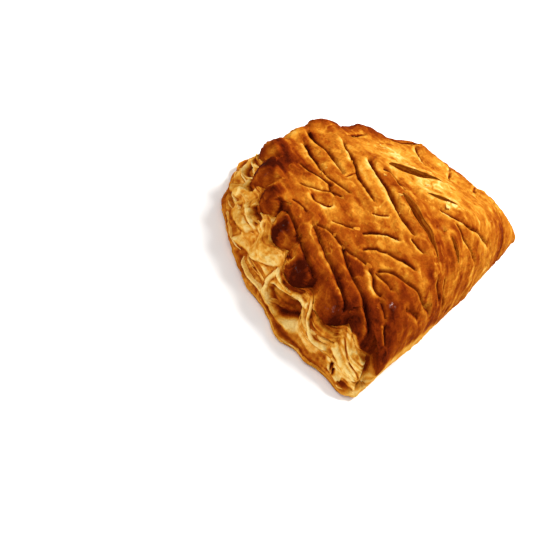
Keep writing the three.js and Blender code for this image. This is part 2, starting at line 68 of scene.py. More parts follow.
camera_up = CAMERA_RIGHT.cross(CAMERA_AHEAD).normalized()
camera_right = CAMERA_AHEAD.cross(camera_up).normalized()
lens = bpy.data.cameras.new("camera")
lens.sensor_width = 36.0
lens.angle = FIELD_OF_VIEW
lens.clip_start = 0.02
camera = bpy.data.objects.new("camera", lens)
turn = Matrix((camera_right, camera_up, -CAMERA_AHEAD)).transposed()
camera.matrix_world = Matrix.Translation(CAMERA_PLACE) @ turn.to_4x4()
bpy.context.scene.collection.objects.link(camera)
bpy.context.scene.camera = camera
print("lens in mm:", round(lens.lens, 1))

# %% [markdown]
# ## Helpers for making pieces
#
# Every piece starts as a grid, a ball or a plane. Its points are then read as
# rows of numbers, moved to where the dough would be, and written back.
# Moving each point by hand would take days, and the proportional-edit brush
# can't give the same shape twice, so the moves are worked out from sizes.

# %% Helpers
def deselect_all():
    if bpy.context.object and bpy.context.object.mode != "OBJECT":
        bpy.ops.object.mode_set(mode="OBJECT")
    bpy.ops.object.select_all(action="DESELECT")


def select_only(*pieces):
    deselect_all()
    for piece in pieces:
        piece.select_set(True)
    bpy.context.view_layer.objects.active = pieces[0]


def grid_primitive(name, columns, rows):
    """A flat grid with that many points each way, the columns counting fastest."""
    deselect_all()
    bpy.ops.mesh.primitive_grid_add(x_subdivisions=columns - 1, y_subdivisions=rows - 1, size=2)
    piece = bpy.context.object
    piece.name = name
    return piece


def ball_primitive(name, columns, rows):
    """A ball, with the ring and the column of each of its points."""
    deselect_all()
    bpy.ops.mesh.primitive_uv_sphere_add(segments=columns, ring_count=rows, radius=1)
    piece = bpy.context.object
    piece.name = name
    at = read_points(piece)
    ring = np.rint(np.arccos(np.clip(-at[:, 2], -1, 1)) / math.pi * rows).astype(int)
    column = np.rint(np.arctan2(at[:, 1], at[:, 0]) / (2 * math.pi) * columns).astype(int) % columns
    return piece, ring, column


def read_points(piece):
    values = np.empty(len(piece.data.vertices) * 3)
    piece.data.vertices.foreach_get("co", values)
    return values.reshape(-1, 3)


def write_points(piece, points):
    piece.data.vertices.foreach_set("co", np.asarray(points, float).ravel())
    piece.data.update()


def read_normals(piece):
    values = np.empty(len(piece.data.vertices) * 3)
    piece.data.vertex_normals.foreach_get("vector", values)
    return values.reshape(-1, 3)


def merge_and_face_out(piece, distance=1e-7):
    select_only(piece)
    bpy.ops.object.mode_set(mode="EDIT")
    bpy.ops.mesh.select_all(action="SELECT")
    bpy.ops.mesh.remove_doubles(threshold=distance)
    bpy.ops.mesh.normals_make_consistent(inside=False)
    bpy.ops.object.mode_set(mode="OBJECT")


def join(name, pieces):
    select_only(*pieces)
    bpy.ops.object.join()
    piece = bpy.context.object
    piece.name = name
    piece.data.name = name
    return piece


def apply_modifier(piece, kind, **settings):
    select_only(piece)
    modifier = piece.modifiers.new(kind.lower(), kind)
    for key, value in settings.items():
        setattr(modifier, key, value)
    bpy.ops.object.modifier_apply(modifier=modifier.name)


def smooth_but_sharp(piece, degrees):
    """Smooth shading, except over edges that turn by more than that."""
    select_only(piece)
    bpy.ops.object.shade_smooth_by_angle(angle=math.radians(degrees))


def store(piece, name, values):
    """Keeps one number for each point, for the material to read."""
    layer = piece.data.attributes.get(name) or piece.data.attributes.new(name, "FLOAT", "POINT")
    layer.data.foreach_set("value", np.asarray(values, np.float32))


def stored(piece, name):
    values = np.empty(len(piece.data.vertices), np.float32)
    piece.data.attributes[name].data.foreach_get("value", values)
    return values.astype(float)


def triangles(piece):
    piece.data.calc_loop_triangles()
    return len(piece.data.loop_triangles)

# %% [markdown]
# ## Unevenness
#
# Dough swells, blisters and tears by chance, but the chance has to fall the
# same way each time this lesson is run. A block of random numbers is made once
# from a fixed seed, and a smooth value is read between its points, much as the
# Noise texture does. Several sizes added together look natural.

# %% Smooth chance
BLOCK = 48
CHANCE = np.random.default_rng(20).uniform(-1, 1, (BLOCK, BLOCK, BLOCK))


def ease(share):
    """From 0 to 1 with a soft start and a soft end."""
    share = np.clip(share, 0, 1)
    return share * share * (3 - 2 * share)


def mix(a, b, share):
    return a + (b - a) * share


def falloff(distance, reach):
    """1 at no distance, soon nothing past reach."""
    return np.exp(-(distance / reach) ** 2)


def chance(x, y, z, size, seed=0):
    """A smooth value from -1 to 1 whose swells are about size across."""
    parts = []
    for values, offset in ((x, 3.1), (y, 17.7), (z, 29.3)):
        place = np.asarray(values, float) / size + offset + 5.37 * seed
        low = np.floor(place).astype(int)
        parts.append((low % BLOCK, (low + 1) % BLOCK, ease(place - low)))
    (x0, x1, fx), (y0, y1, fy), (z0, z1, fz) = parts
    planes = []
    for level in (z0, z1):
        near = mix(CHANCE[x0, y0, level], CHANCE[x1, y0, level], fx)
        far = mix(CHANCE[x0, y1, level], CHANCE[x1, y1, level], fx)
        planes.append(mix(near, far, fy))
    return mix(*planes, fz)


def rough(x, y, z, size, seed=0):
    """Chance of three sizes, each half as wide as the one before."""
    total = 0
    for octave in range(3):
        total = total + 0.55 ** octave * chance(x, y, z, size / 2 ** octave, seed + octave)
    return total / 1.6


def flat_chance(x, y, size, seed):
    return chance(x, y, 0, size, seed)

# %% [markdown]
# ## The shape of the baked dough
#
# These are the same named sizes, in millimetres, that the solid is made from,
# so the dressed pastry lies on it everywhere. "Deep" is the distance from the
# fold. The outline of the tips is half an ellipse, measured out once so that a
# place on the cut edge can be given as a length from the near corner.

# %% Sizes
HALF, DEPTH, FOLD_BOW, FOLD_Y = 67.5, 84.0, 2.5, -41.0
CROWN_HEIGHT, CROWN_FALL, CROWN_REACH = 34.0, 9.0, 0.8
RIM_HEIGHT, RIM_FALL_NEAR, RIM_SETTLE, RIM_FALL_FAR = 21.6, 4.5, 1.8, 9.5
NOSE_RADIUS, NOSE_HEIGHT, NOSE_UNDER = 16.0, 9.0, 6.0
LOBE_TIPS = np.array([3.6, 22.2, 41, 58, 73.5, 90, 107, 124, 139, 163, 186, 207, 222, 236])
WEAK_LOBE, LOBE_VALLEY, VALLEY_WIDTH = 124.0, 4.2, 1.25
FLUTE_DEPTH, FLUTE_REACH, FAR_FLUTES = 1.3, 0.12, 0.7
LOBE_PUFF, EDGE_ROLL, EDGE_ROLL_REACH = 0.8, 1.8, 0.09
CORNER_GAP, CORNER_GAP_REACH = 2.6, 6.0
CORNER_ROUND, CORNER_ROUND_REACH = 2.2, 2.6
CENTRE_DEEP = 37.0
TOP_SHEET, BOTTOM_SHEET, SEAL_SHARE, FOLD_WALL = 3.0, 4.6, 0.2, 5.0
CLEARANCE, FILLING_SAG = 0.35, 0.35
# share of the edge's height, how far back, share of the lobes' wave, corner gap
EDGE = np.array([
    (0.0, 1.0, 0.1, 0), (0.04, -0.7, 0.1, 0), (0.13, -1.6, 0.13, 0), (0.2, -0.9, 0.2, 0),
    (0.23, 0.6, 0.6, 1), (0.265, 1.2, 1.15, 1), (0.34, 0.3, 1.3, 0), (0.42, 1.3, 1.35, 0),
    (0.48, 0.9, 1.3, 0), (0.57, 2.0, 1.25, 0), (0.63, 3.4, 1.1, 0), (0.69, 2.5, 1, 0),
    (0.80, 2.3, 1, 0), (0.92, 3.0, 1, 0), (1.0, 4.8, 1, 0)])
EDGE_BACK = EDGE[-1, 1]
# each bump: place along the edge, how much, how wide
# the rim baked higher or lower
RIM_RISES = [(139, 1.8, 7), (163, 0.8, 8), (186, 2.2, 10), (227, -2.6, 9)]
RIM_RISE_REACH = 0.2
# the lower sheet's lip bulges out
LIP_BULGES = [(6, 1.4, 3), (20.5, 1.6, 3.4), (32, 4.4, 5.5), (52, 1.2, 5), (88, 1.0, 6),
              (118, 1.2, 5), (150, 1.4, 6), (181, 1.2, 5), (214, 1.2, 5)]
LIP_TOP, LIP_BLEND = 0.12, 0.14
# the top sheet shrank back
SHRUNK = [(0, 5.5, 12), (58, 2, 7), (76, 1.2, 8), (238.7, 3.5, 9)]
SHRINK_FROM, SHRINK_FULL = 0.3, 0.75
# hollows under the lobes: place, half width, lowest and highest share, browning
POCKETS = [(37.5, 7, 0.18, 0.47, 0.50), (74, 2.5, 0.53, 0.6, 0.6), (91, 3, 0.5, 0.64, 0.5),
           (107, 5, 0.3, 0.5, 0.44), (124, 4, 0.28, 0.46, 0.5), (139, 5, 0.3, 0.5, 0.46),
           (186, 5, 0.28, 0.48, 0.5), (207, 5, 0.28, 0.46, 0.44)]
# where the ledge of the lower sheet lies open, and how far it is covered elsewhere
LEDGES, LEDGE_WIDE, LEDGE_COVERED = [35, 63, 98, 131, 174, 214], 7.5, 0.2

ANGLES = np.linspace(0, math.pi, 721)
EDGE_X, EDGE_DEEP = -HALF * np.cos(ANGLES), DEPTH * np.sin(ANGLES)
EDGE_LENGTHS = np.concatenate([[0], np.cumsum(np.hypot(np.diff(EDGE_X), np.diff(EDGE_DEEP)))])
ARC_LENGTH = EDGE_LENGTHS[-1]
print("cut edge in mm:", round(ARC_LENGTH, 1))

# %% [markdown]
# ## The knife's marks
#
# Some slashes opened right through the top sheet and show the filling. The
# others stayed closed. Each is a line of points on the plan, and a smooth
# curve is passed through them. Drawing them as curve objects would look the
# same, but the crust needs the distance of each of its points to a mark.

# %% Slits and scores
# each slit: its line, its width, and how far its widest place is drawn to its start
SLITS = [
    ([(11.5, 45), (13, 41.5), (15, 37.5), (18.5, 34), (23, 31), (28.5, 28)], 5.8, 0.7),
    ([(5, 27.5), (6.2, 24), (7.6, 21), (9.6, 17)], 2.6, 1.0),
    ([(-3.5, 33), (-6.7, 29), (-9.5, 25.5), (-12.5, 22), (-15, 17), (-18, 13.5), (-22, 7.5)], 3.6, 0.75),
    ([(-7.7, 11), (-9, 8), (-9.8, 5.8), (-10.3, 3.4)], 2.4, 1.0),
]
LIP_RISE, LIP_WIDTH = 0.9, 2.6
# each score: its line, its width and its depth
SCORES = [
    ([(-37.5, 61.5), (-38.5, 58.5), (-43, 51), (-49, 42.5), (-52.5, 39), (-55, 35.5), (-57.5, 30)],
     2.6, 1.5),
    ([(-38.5, 48), (-44, 40), (-49.5, 33), (-53, 27), (-58, 21), (-61, 18.5)], 2.0, 1.3),
    ([(-39, 46.5), (-38.5, 40.5), (-41, 34), (-42, 27), (-42.5, 23)], 1.2, 0.9),
    ([(-41.5, 34), (-44.5, 30.5), (-49, 24), (-54, 16), (-59, 10), (-62.5, 7)], 2.0, 1.4),
    ([(-39, 28.5), (-35.5, 26), (-34, 21.5), (-33.5, 16.5), (-32.5, 10)], 1.7, 1.2),
    ([(-43, 20.5), (-40, 17), (-39, 11), (-37, 5), (-34.5, 2), (-30, -0.5)], 1.7, 1.2),
    ([(-43.5, 22.5), (-45.5, 19.5), (-48, 16.5), (-49.5, 13)], 1.3, 0.8),
    ([(-43, 20), (-44, 16.5), (-45, 11.5)], 1.1, 0.7),
    ([(-32.5, 32.5), (-30, 29.5), (-28.5, 27), (-26, 21)], 1.6, 1.1),
    ([(-34, 43), (-33, 39), (-32, 35)], 1.2, 0.8),
    ([(8, 74.5), (4.5, 71), (0.5, 64.5), (-4.5, 58), (-11, 51.5)], 2.1, 1.5),
    ([(-1, 71.5), (-4.5, 68), (-13, 59), (-15.5, 56)], 1.7, 1.2),
    ([(-15, 56), (-16.5, 53), (-18, 44.5)], 1.3, 0.9),
    ([(-26.5, 60.5), (-24.5, 54), (-22, 49), (-22, 46)], 1.6, 1.1),
    ([(-15, 66.5), (-17.5, 60.5), (-18.5, 55), (-19.5, 51)], 1.2, 0.8),
    ([(13, 63.5), (6, 58.5), (-4, 50.5), (-9.5, 45.5), (-17, 36)], 1.9, 1.4),
    ([(8.5, 52), (2.5, 47.5), (-3, 41), (-12, 32), (-18, 24.5), (-21, 18.5)], 2.4, 1.6),
    ([(5, 45), (6, 41.5), (4, 38), (-2, 32.5)], 1.3, 0.9),
    ([(24.5, 55.5), (26, 53.5), (27.5, 51.5)], 1.2, 0.8),
    ([(19, 64.5), (25, 63), (31.5, 61.5)], 1.3, 0.8),
    ([(40.5, 55.5), (43.5, 52), (49.5, 46)], 1.3, 0.8),
    ([(-27.5, 55), (-29.5, 52), (-29.5, 49), (-29, 47), (-27, 46.5)], 0.9, 0.5),
    ([(2.5, 12), (5, 9), (9, 6.5), (13.5, 4), (20, 1.5)], 1.7, 1.3),
    ([(0.5, 13.5), (-1, 9.5), (-1, 6.5), (4, 0.5)], 2.0, 0.8),
    ([(1, 20.5), (1.5, 16.5), (3.5, 11)], 1.2, 0.7),
    ([(46, 12), (43, 7), (41, 3.5), (39, 1), (37, -1)], 4.5, 3.0),
    ([(44.5, 17.5), (43, 13), (39.5, 6.5)], 1.2, 0.6),
    ([(-45.5, 5.5), (-42.5, 3), (-39, 1)], 1.1, 0.8),
    ([(-50.5, 12.5), (-52, 9.5), (-53.5, 7)], 1.0, 0.6),
    ([(-54.5, 7), (-56, 5), (-57.5, 2.5)], 1.0, 0.6),
    ([(-24.5, 4.5), (-26, 2.5), (-24, 0)], 1.1, 0.7),
    ([(-20, 3.5), (-21.5, 1), (-19.5, -1)], 1.0, 0.6),
    ([(-22.5, 19.5), (-24, 16), (-24.5, 12.5)], 1.0, 0.5),
    ([(-19.5, 53), (-22, 50), (-23, 47.5)], 1.0, 0.6),
    ([(-11, 51.5), (-8.5, 50.5), (-6, 49.5)], 1.0, 0.6),
    ([(-22, 35), (-21.5, 32.5), (-19.5, 30)], 1.0, 0.6),
    ([(-35.5, 57.5), (-35, 54), (-36.5, 50)], 1.0, 0.5),
    ([(-53.5, 43), (-52, 45), (-50.5, 47.5)], 1.0, 0.5),
    ([(52, 33), (45, 30.5), (37, 28)], 1.1, 0.5),
    ([(55, 22), (48, 20), (40, 18.5)], 1.1, 0.5),
    ([(47, 47), (40, 42), (34, 37.5)], 1.2, 0.5),
]


def smooth_line(line, steps):
    """Points along a smooth curve that passes through the given ones."""
    knots = np.array(line, float)
    padded = np.vstack([2 * knots[0] - knots[1], knots, 2 * knots[-1] - knots[-2]])
    out = []
    for share in np.linspace(0, len(knots) - 1, steps + 1):
        i = min(int(share), len(knots) - 2)
        t = share - i
        a, b, c, d = padded[i:i + 4]
        out.append(0.5 * (2 * b + (c - a) * t + (2 * a - 5 * b + 4 * c - d) * t ** 2
                          + (3 * b - a - 3 * c + d) * t ** 3))
    return np.array(out)


def to_line(line, x, deep):
    """For each point, its distance to the line, its side and its share of the way along."""
    best = np.full(x.shape, np.inf)
    side = np.ones(x.shape)
    along = np.zeros(x.shape)
    for i in range(len(line) - 1):
        start, way = line[i], line[i + 1] - line[i]
        dx, dd = x - start[0], deep - start[1]
        t = np.clip((dx * way[0] + dd * way[1]) / (way @ way), 0, 1)
        away = np.hypot(dx - t * way[0], dd - t * way[1])
        nearer = away < best
        best = np.where(nearer, away, best)
        side = np.where(nearer, np.sign(way[0] * dd - way[1] * dx), side)
        along = np.where(nearer, (i + t) / (len(line) - 1), along)
    return best, side, along


def beside(line, x, deep, reach):
    """The points in the box round a line, reach wider on every side."""
    low, high = line.min(axis=0) - reach, line.max(axis=0) + reach
    return (x > low[0]) & (x < high[0]) & (deep > low[1]) & (deep < high[1])


print("marks:", len(SLITS), "slits and", len(SCORES), "scores")

# %% [markdown]
# ## Height of the top and place of the edge
#
# The top sheet is a dome that meets the rim in a slope, dips in a flute at
# each valley between the lobes, and rolls over the fold as a quarter round.
# The cut edge stands back from the outline by an amount that changes with the
# height: a lip, a ledge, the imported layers, and the top sheet's rolled edge.

# %% The surface
def way_in(x, deep):
    """0 on the outline, 1 in the middle of the fold."""
    return 1 - np.hypot(x / HALF, np.maximum(deep, 0) / DEPTH)


def arc_at(x, deep):
    return np.interp(np.arctan2(np.maximum(deep, 0) / DEPTH, -x / HALF), ANGLES, EDGE_LENGTHS)


def valley(length):
    """0 at the tip of a lobe, 1 in the bottom of a valley."""
    i = np.clip(np.searchsorted(LOBE_TIPS, length, side="right") - 1, 0, len(LOBE_TIPS) - 1)
    start = LOBE_TIPS[i]
    ends = np.append(LOBE_TIPS[1:], 2 * ARC_LENGTH - LOBE_TIPS[-1])
    cosine = np.cos(math.pi * (length - start) / (ends[i] - start))
    wave = (1.02 - np.sqrt(cosine ** 2 + 0.0004)) ** VALLEY_WIDTH
    weak = falloff(length - WEAK_LOBE, 8)
    strength = mix(1, FAR_FLUTES, ease((length - 135) / 30))
    pressed = strength * np.minimum(1, mix(wave, 0.85, 0.8 * weak))
    return np.where(length < LOBE_TIPS[0], 0, pressed)


def bumps(places, length):
    """The bumps of one list, added up."""
    return sum(much * falloff(length - place, wide) for place, much, wide in places)


def pocket(length, share, wobble=0):
    """How far each place lies in one of the hollows, and its browning there."""
    blend, blur = 2.5, 0.04
    inside, tone = np.zeros(np.shape(length)), np.zeros(np.shape(length))
    for place, wide, low, high, brown in POCKETS:
        off = np.abs(length - place)
        across = 1 - ease((off - wide + wobble) / blend)
        narrow = 0.5 * (high - low) * np.clip(off / (wide + blend), 0, 1) ** 2.5
        above_floor = ease((share - low - narrow) / blur)
        below_roof = 1 - ease((share - high + narrow + 0.02 * wobble) / blur)
        level = above_floor * below_roof
        tone = np.where(across * level > inside, brown, tone)
        inside = np.maximum(inside, across * level)
    return inside, tone


def low_wave(share, length):
    """Low down, the layers follow the valleys only where a ledge lies open."""
    ledge = np.max([falloff(length - place, LEDGE_WIDE) for place in LEDGES], axis=0)
    return mix(mix(LEDGE_COVERED, 1, ledge), 1, ease((share - 0.32) / 0.24))


def rim_back(length, pressed):
    """How far the top sheet's edge stands back from the outline."""
    return EDGE_BACK + LOBE_VALLEY * pressed + bumps(SHRUNK, length)


def edge_back(length, share, pressed):
    """How far the cut edge stands back, share of the way up."""
    back, wave = (np.interp(share, EDGE[:, 0], EDGE[:, column]) for column in (1, 2))
    corner = falloff(np.minimum(length, ARC_LENGTH - length), CORNER_ROUND_REACH)
    shrink = bumps(SHRUNK, length) * ease((share - SHRINK_FROM) / (SHRINK_FULL - SHRINK_FROM))
    bulge = bumps(LIP_BULGES, length) * (1 - ease((share - LIP_TOP) / LIP_BLEND))
    wave = LOBE_VALLEY * pressed * wave * low_wave(share, length)
    return back + wave + CORNER_ROUND * corner + shrink - bulge


def rim_height(x):
    near = RIM_FALL_NEAR * (1 - ease((x + 70) / 32))
    far = RIM_FALL_FAR * ease((x - 47) / 24)
    return RIM_HEIGHT - near - far - RIM_SETTLE * ease((x - 14) / 20)


def lips(x, deep):
    """The raised lips of the slits."""
    rise = np.zeros(np.shape(x))
    for line, width, _ in SLITS:
        away, _, _ = to_line(np.array(line, float), x, deep)
        rise = np.maximum(rise, LIP_RISE * falloff(away - width / 2, LIP_WIDTH))
    return rise


def swell(x, deep):
    return (0.28 * np.sin(0.11 * x + 0.07 * deep + 0.6) + 0.24 * np.sin(0.17 * x - 0.13 * deep + 2.1)
            + 0.22 * np.sin(0.05 * x + 0.19 * deep + 4.2))


def top_height(x, deep):
    inward = np.clip(way_in(x, deep), 0, 1)
    rim = rim_height(x)
    crown = CROWN_HEIGHT - CROWN_FALL * ease((x - 5) / 62)
    rise = np.sin(math.pi / 2 * np.minimum(1, inward / CROWN_REACH)) ** 1.2
    arc = arc_at(x, deep)
    pressed = valley(arc)
    flute = FLUTE_DEPTH * pressed * falloff(inward, FLUTE_REACH)
    puff = LOBE_PUFF * (1 - pressed) * falloff(inward - 0.07, 0.05)
    roll = EDGE_ROLL * (1 - ease(inward / EDGE_ROLL_REACH))
    full = rim + (crown - rim) * rise - flute + puff - roll
    full = full + bumps(RIM_RISES, arc) * falloff(inward, RIM_RISE_REACH)
    full = full + swell(x, deep) * ease(inward / 0.2) + lips(x, deep)
    k = np.clip(1 - (deep + FOLD_BOW * (1 - (x / HALF) ** 2)) / NOSE_RADIUS, 0, 1)
    nose = np.minimum(NOSE_HEIGHT, full / 2)
    return nose + (full - nose) * np.sqrt(1 - k * k)


def stand_back(x, deep, back):
    """A point of the outline moved towards the middle."""
    far = np.hypot(x, CENTRE_DEEP - deep)
    return x - x * back / far, deep + (CENTRE_DEEP - deep) * back / far


def place_points(piece, x, deep, z):
    write_points(piece, np.column_stack([x, deep + FOLD_Y, z]) * MM)


print("height of the crown in mm:", round(float(top_height(np.zeros(1), np.full(1, CENTRE_DEEP))[0]), 1))

# %% [markdown]
# ## The top sheet
#
# A ball would bunch its points at the pole and a plain grid has no round
# outline. So a grid primitive is bent into half a disc: its lower side is the
# fold and its other three sides are the cut edge. The cells stay nearly even,
# about half a millimetre, which is fine enough for a knife's cut. Near the
# fold the rows are closer, because the dough turns down there.

# %% The top sheet's plan
COLUMNS = 241
FOLD_ROWS, OPEN_ROWS = 30, 118
INSET_REACH = 20        # how far in the top sheet gives way for its lobes
fold_turn = np.linspace(0, math.pi / 2, FOLD_ROWS)
fold_part = NOSE_RADIUS * (1 - np.cos(fold_turn)) / DEPTH
open_part = np.linspace(NOSE_RADIUS / DEPTH, 1, OPEN_ROWS)[1:]
ROW_PLACES = np.concatenate([fold_part, open_part])
ROWS = len(ROW_PLACES)

top = grid_primitive("top_sheet", COLUMNS, ROWS)
u, v = np.meshgrid(np.linspace(-1, 1, COLUMNS), ROW_PLACES)
disc_x = (u * np.sqrt(1 - v ** 2 / 2)).ravel()
disc_deep = (v * np.sqrt(1 - u ** 2 / 2)).ravel()
plan_x = HALF * disc_x
bow = FOLD_BOW * (1 - disc_x ** 2) * (1 - ease(disc_deep / 0.3))
plan_deep = DEPTH * disc_deep - bow

fold_share = ease((HALF - np.abs(plan_x)) / 7) * (1 - ease(disc_deep * DEPTH / 9))
plan_arc = arc_at(plan_x, plan_deep)
inset = rim_back(plan_arc, valley(plan_arc)) * (1 - fold_share)
disc_out = np.hypot(disc_x, disc_deep)
edge_far = (1 - disc_out) * np.hypot(HALF * disc_x, DEPTH * disc_deep)
edge_far = edge_far / np.maximum(disc_out, 1e-6)
inset = inset * np.clip(1 - edge_far / INSET_REACH, 0, 1) ** 1.3
top_x, top_deep = stand_back(plan_x, plan_deep, inset)
top_z = top_height(top_x, top_deep)
place_points(top, top_x, top_deep, top_z)
store(top, "share_up", np.ones(len(top_x)))
print("top sheet:", COLUMNS, "by", ROWS, "points")

# %% [markdown]
# ## The cut edge and the underside
#
# The sides go round the outline as one strip, another grid primitive rolled
# into a ring. Read from below it is the flat underside, the lip of the lower
# sheet, its ledge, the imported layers, and the rounded edge of the top sheet.
# Along the fold the same rows make the round of the fold's lower half. Its
# last row lies exactly on the top sheet's outline, so merging by distance
# welds the two into one closed skin.

# %% The sides
# the top sheet's border, once round: fold, far side, back, near side
loop = (list(range(COLUMNS - 1))
        + [j * COLUMNS + COLUMNS - 1 for j in range(ROWS - 1)]
        + [(ROWS - 1) * COLUMNS + i for i in range(COLUMNS - 1, 0, -1)]
        + [j * COLUMNS for j in range(ROWS - 1, 0, -1)])
loop = np.array(loop + [loop[0]])
BASE_STEPS = np.array([0.0, 0.3, 0.55, 0.75, 0.88, 0.96])
WALL_ROWS = 36
BEHIND_FOLDS, POCKET_DEEP = 0.8, 3.4    # how far the wall stands behind folds and hollows
wall_shares = np.linspace(0, 1, WALL_ROWS)
side = grid_primitive("sides", len(loop), len(BASE_STEPS) + WALL_ROWS)

out_x, out_deep = plan_x[loop], plan_deep[loop]
on_fold = disc_deep[loop] < 1e-9
out_arc = np.where(on_fold, np.where(out_x > 0, ARC_LENGTH, 0), arc_at(out_x, out_deep))
out_fold = np.where(on_fold, ease((HALF - np.abs(out_x)) / 7), 0)
out_valley = np.where(on_fold, 0, valley(out_arc))
from_corner = np.minimum(out_arc, ARC_LENGTH - out_arc)
corner_gap = CORNER_GAP * falloff(from_corner, CORNER_GAP_REACH)


def side_row(share):
    """The plan of one row of the sides, share of the way up."""
    gap = np.interp(share, EDGE[:, 0], EDGE[:, 3])
    edge = edge_back(out_arc, share, out_valley) + corner_gap * gap
    behind = ease((share - 0.11) / 0.03) * (1 - ease((share - 0.55) / 0.06))
    edge = edge + behind * (BEHIND_FOLDS + POCKET_DEEP * pocket(out_arc, share)[0])
    full_end = 1 - 0.75 * falloff(out_x + HALF, 12)
    curl = NOSE_UNDER * full_end * (1 - math.sqrt(1 - (1 - share) ** 2))
    return stand_back(out_x, out_deep, mix(edge, curl, out_fold))


rows = []
foot_x, foot_deep = side_row(0.0)
for step in BASE_STEPS:
    under_deep = mix(CENTRE_DEEP, foot_deep, step)
    rows.append(np.column_stack([foot_x * step, under_deep, 0 * foot_x, 0 * foot_x]))
for share in wall_shares:
    row_x, row_deep = side_row(share)
    join_up = ease((share - 0.93) / 0.07)
    row_x = mix(row_x, top_x[loop], join_up)
    row_deep = mix(row_deep, top_deep[loop], join_up)
    rows.append(np.column_stack([row_x, row_deep, share * top_z[loop], 0 * row_x + share]))
rows = np.concatenate(rows)
place_points(side, *rows[:, :3].T)
store(side, "share_up", rows[:, 3])

crust = join("baked_crust", [top, side])
merge_and_face_out(crust, 2e-6)
print("crust skin:", len(crust.data.vertices), "points,", triangles(crust), "triangles")

# %% [markdown]
# ## Finer faces along the knife marks
#
# A score is hardly half a millimetre wide at its bottom, so the faces there
# must be smaller than elsewhere. Subdividing the whole crust would make it
# four times heavier. Only the faces close to a mark are selected and
# subdivided once.

# %% Subdivide along the marks
FINE_REACH = 1.13         # mm from a mark


def mark_distance(x, deep, reach=6):
    """Distance to the nearest knife mark, or reach where it is further."""
    nearest = np.full(x.shape, float(reach))
    lines = [(line, 0) for line, _, _ in SCORES] + [(line, width / 2) for line, width, _ in SLITS]
    for line, half in lines:
        curve = smooth_line(line, 12)
        near = beside(curve, x, deep, reach)
        away, _, _ = to_line(curve, x[near], deep[near])
        nearest[near] = np.minimum(nearest[near], np.maximum(away - half, 0))
    return nearest


select_only(crust)
centres = np.empty(len(crust.data.polygons) * 3)
crust.data.polygons.foreach_get("center", centres)
centres = centres.reshape(-1, 3) / MM
face_x, face_deep = centres[:, 0], centres[:, 1] - FOLD_Y
on_top = centres[:, 2] > 0.75 * top_height(face_x, face_deep)
chosen = on_top & (mark_distance(face_x, face_deep) < FINE_REACH)
bpy.ops.object.mode_set(mode="EDIT")
bpy.ops.mesh.select_mode(type="FACE")
bpy.ops.mesh.select_all(action="DESELECT")
bpy.ops.object.mode_set(mode="OBJECT")
crust.data.polygons.foreach_set("select", chosen)
bpy.ops.object.mode_set(mode="EDIT")
bpy.ops.mesh.subdivide(number_cuts=1)
bpy.ops.object.mode_set(mode="OBJECT")
print("faces along the marks:", int(chosen.sum()), "crust now:", triangles(crust), "triangles")

# %% [markdown]
# ## Relief of the crust
#
# The finer forms are pushed along the surface's own direction, as the Displace
# modifier does, but with masks of our own: closed scores with one raised lip,
# strips puffed up between them, torn flakes that end in small steps, blisters,
# and the fine layers of the cut edge.

# %% Relief
WANDER_OUT, WANDER_FINE, WANDER_UP = 1.0, 0.5, 0.8      # mm


def wander(x, deep, z):
    """The rim isn't pressed evenly: it drifts in and out, and up and down."""
    far = np.hypot(x, CENTRE_DEEP - deep)
    mask = falloff(np.clip(way_in(x, deep), 0, 1), 0.16) * ease((deep - 2) / 8) * ease(z / 3)
    out = WANDER_OUT * flat_chance(x, deep, 13, 90) + WANDER_FINE * flat_chance(x, deep, 5, 91)
    up = WANDER_UP * flat_chance(x, deep, 17, 92) * ease(z / 12)
    return np.column_stack([out * x / far, out * (deep - CENTRE_DEEP) / far, up]) * mask[:, None]


# the direction of the side of each score that lifted
LIFTED_SIDE = np.array([0.93, -0.37])
MARK_REACH, BEND, FINE_BEND = 8, 0.45, 0.14     # mm
CRACK_DEEP, LIFT_RISE = 0.9, 0.24               # shares of the score's depth
# where the egg wash pooled, boiled and dried to a blistered gloss: x, deep, radius
GLAZED = [
    (-63.4, 21.8, 3.0), (-66, 17, 1.4), (-46.7, 53.2, 2.0), (-56, 39.5, 1.8), (-39, 66.5, 1.6),
    (-7.7, 15, 1.6), (-30, 71, 1.4), (-49, 9, 1.0),
]


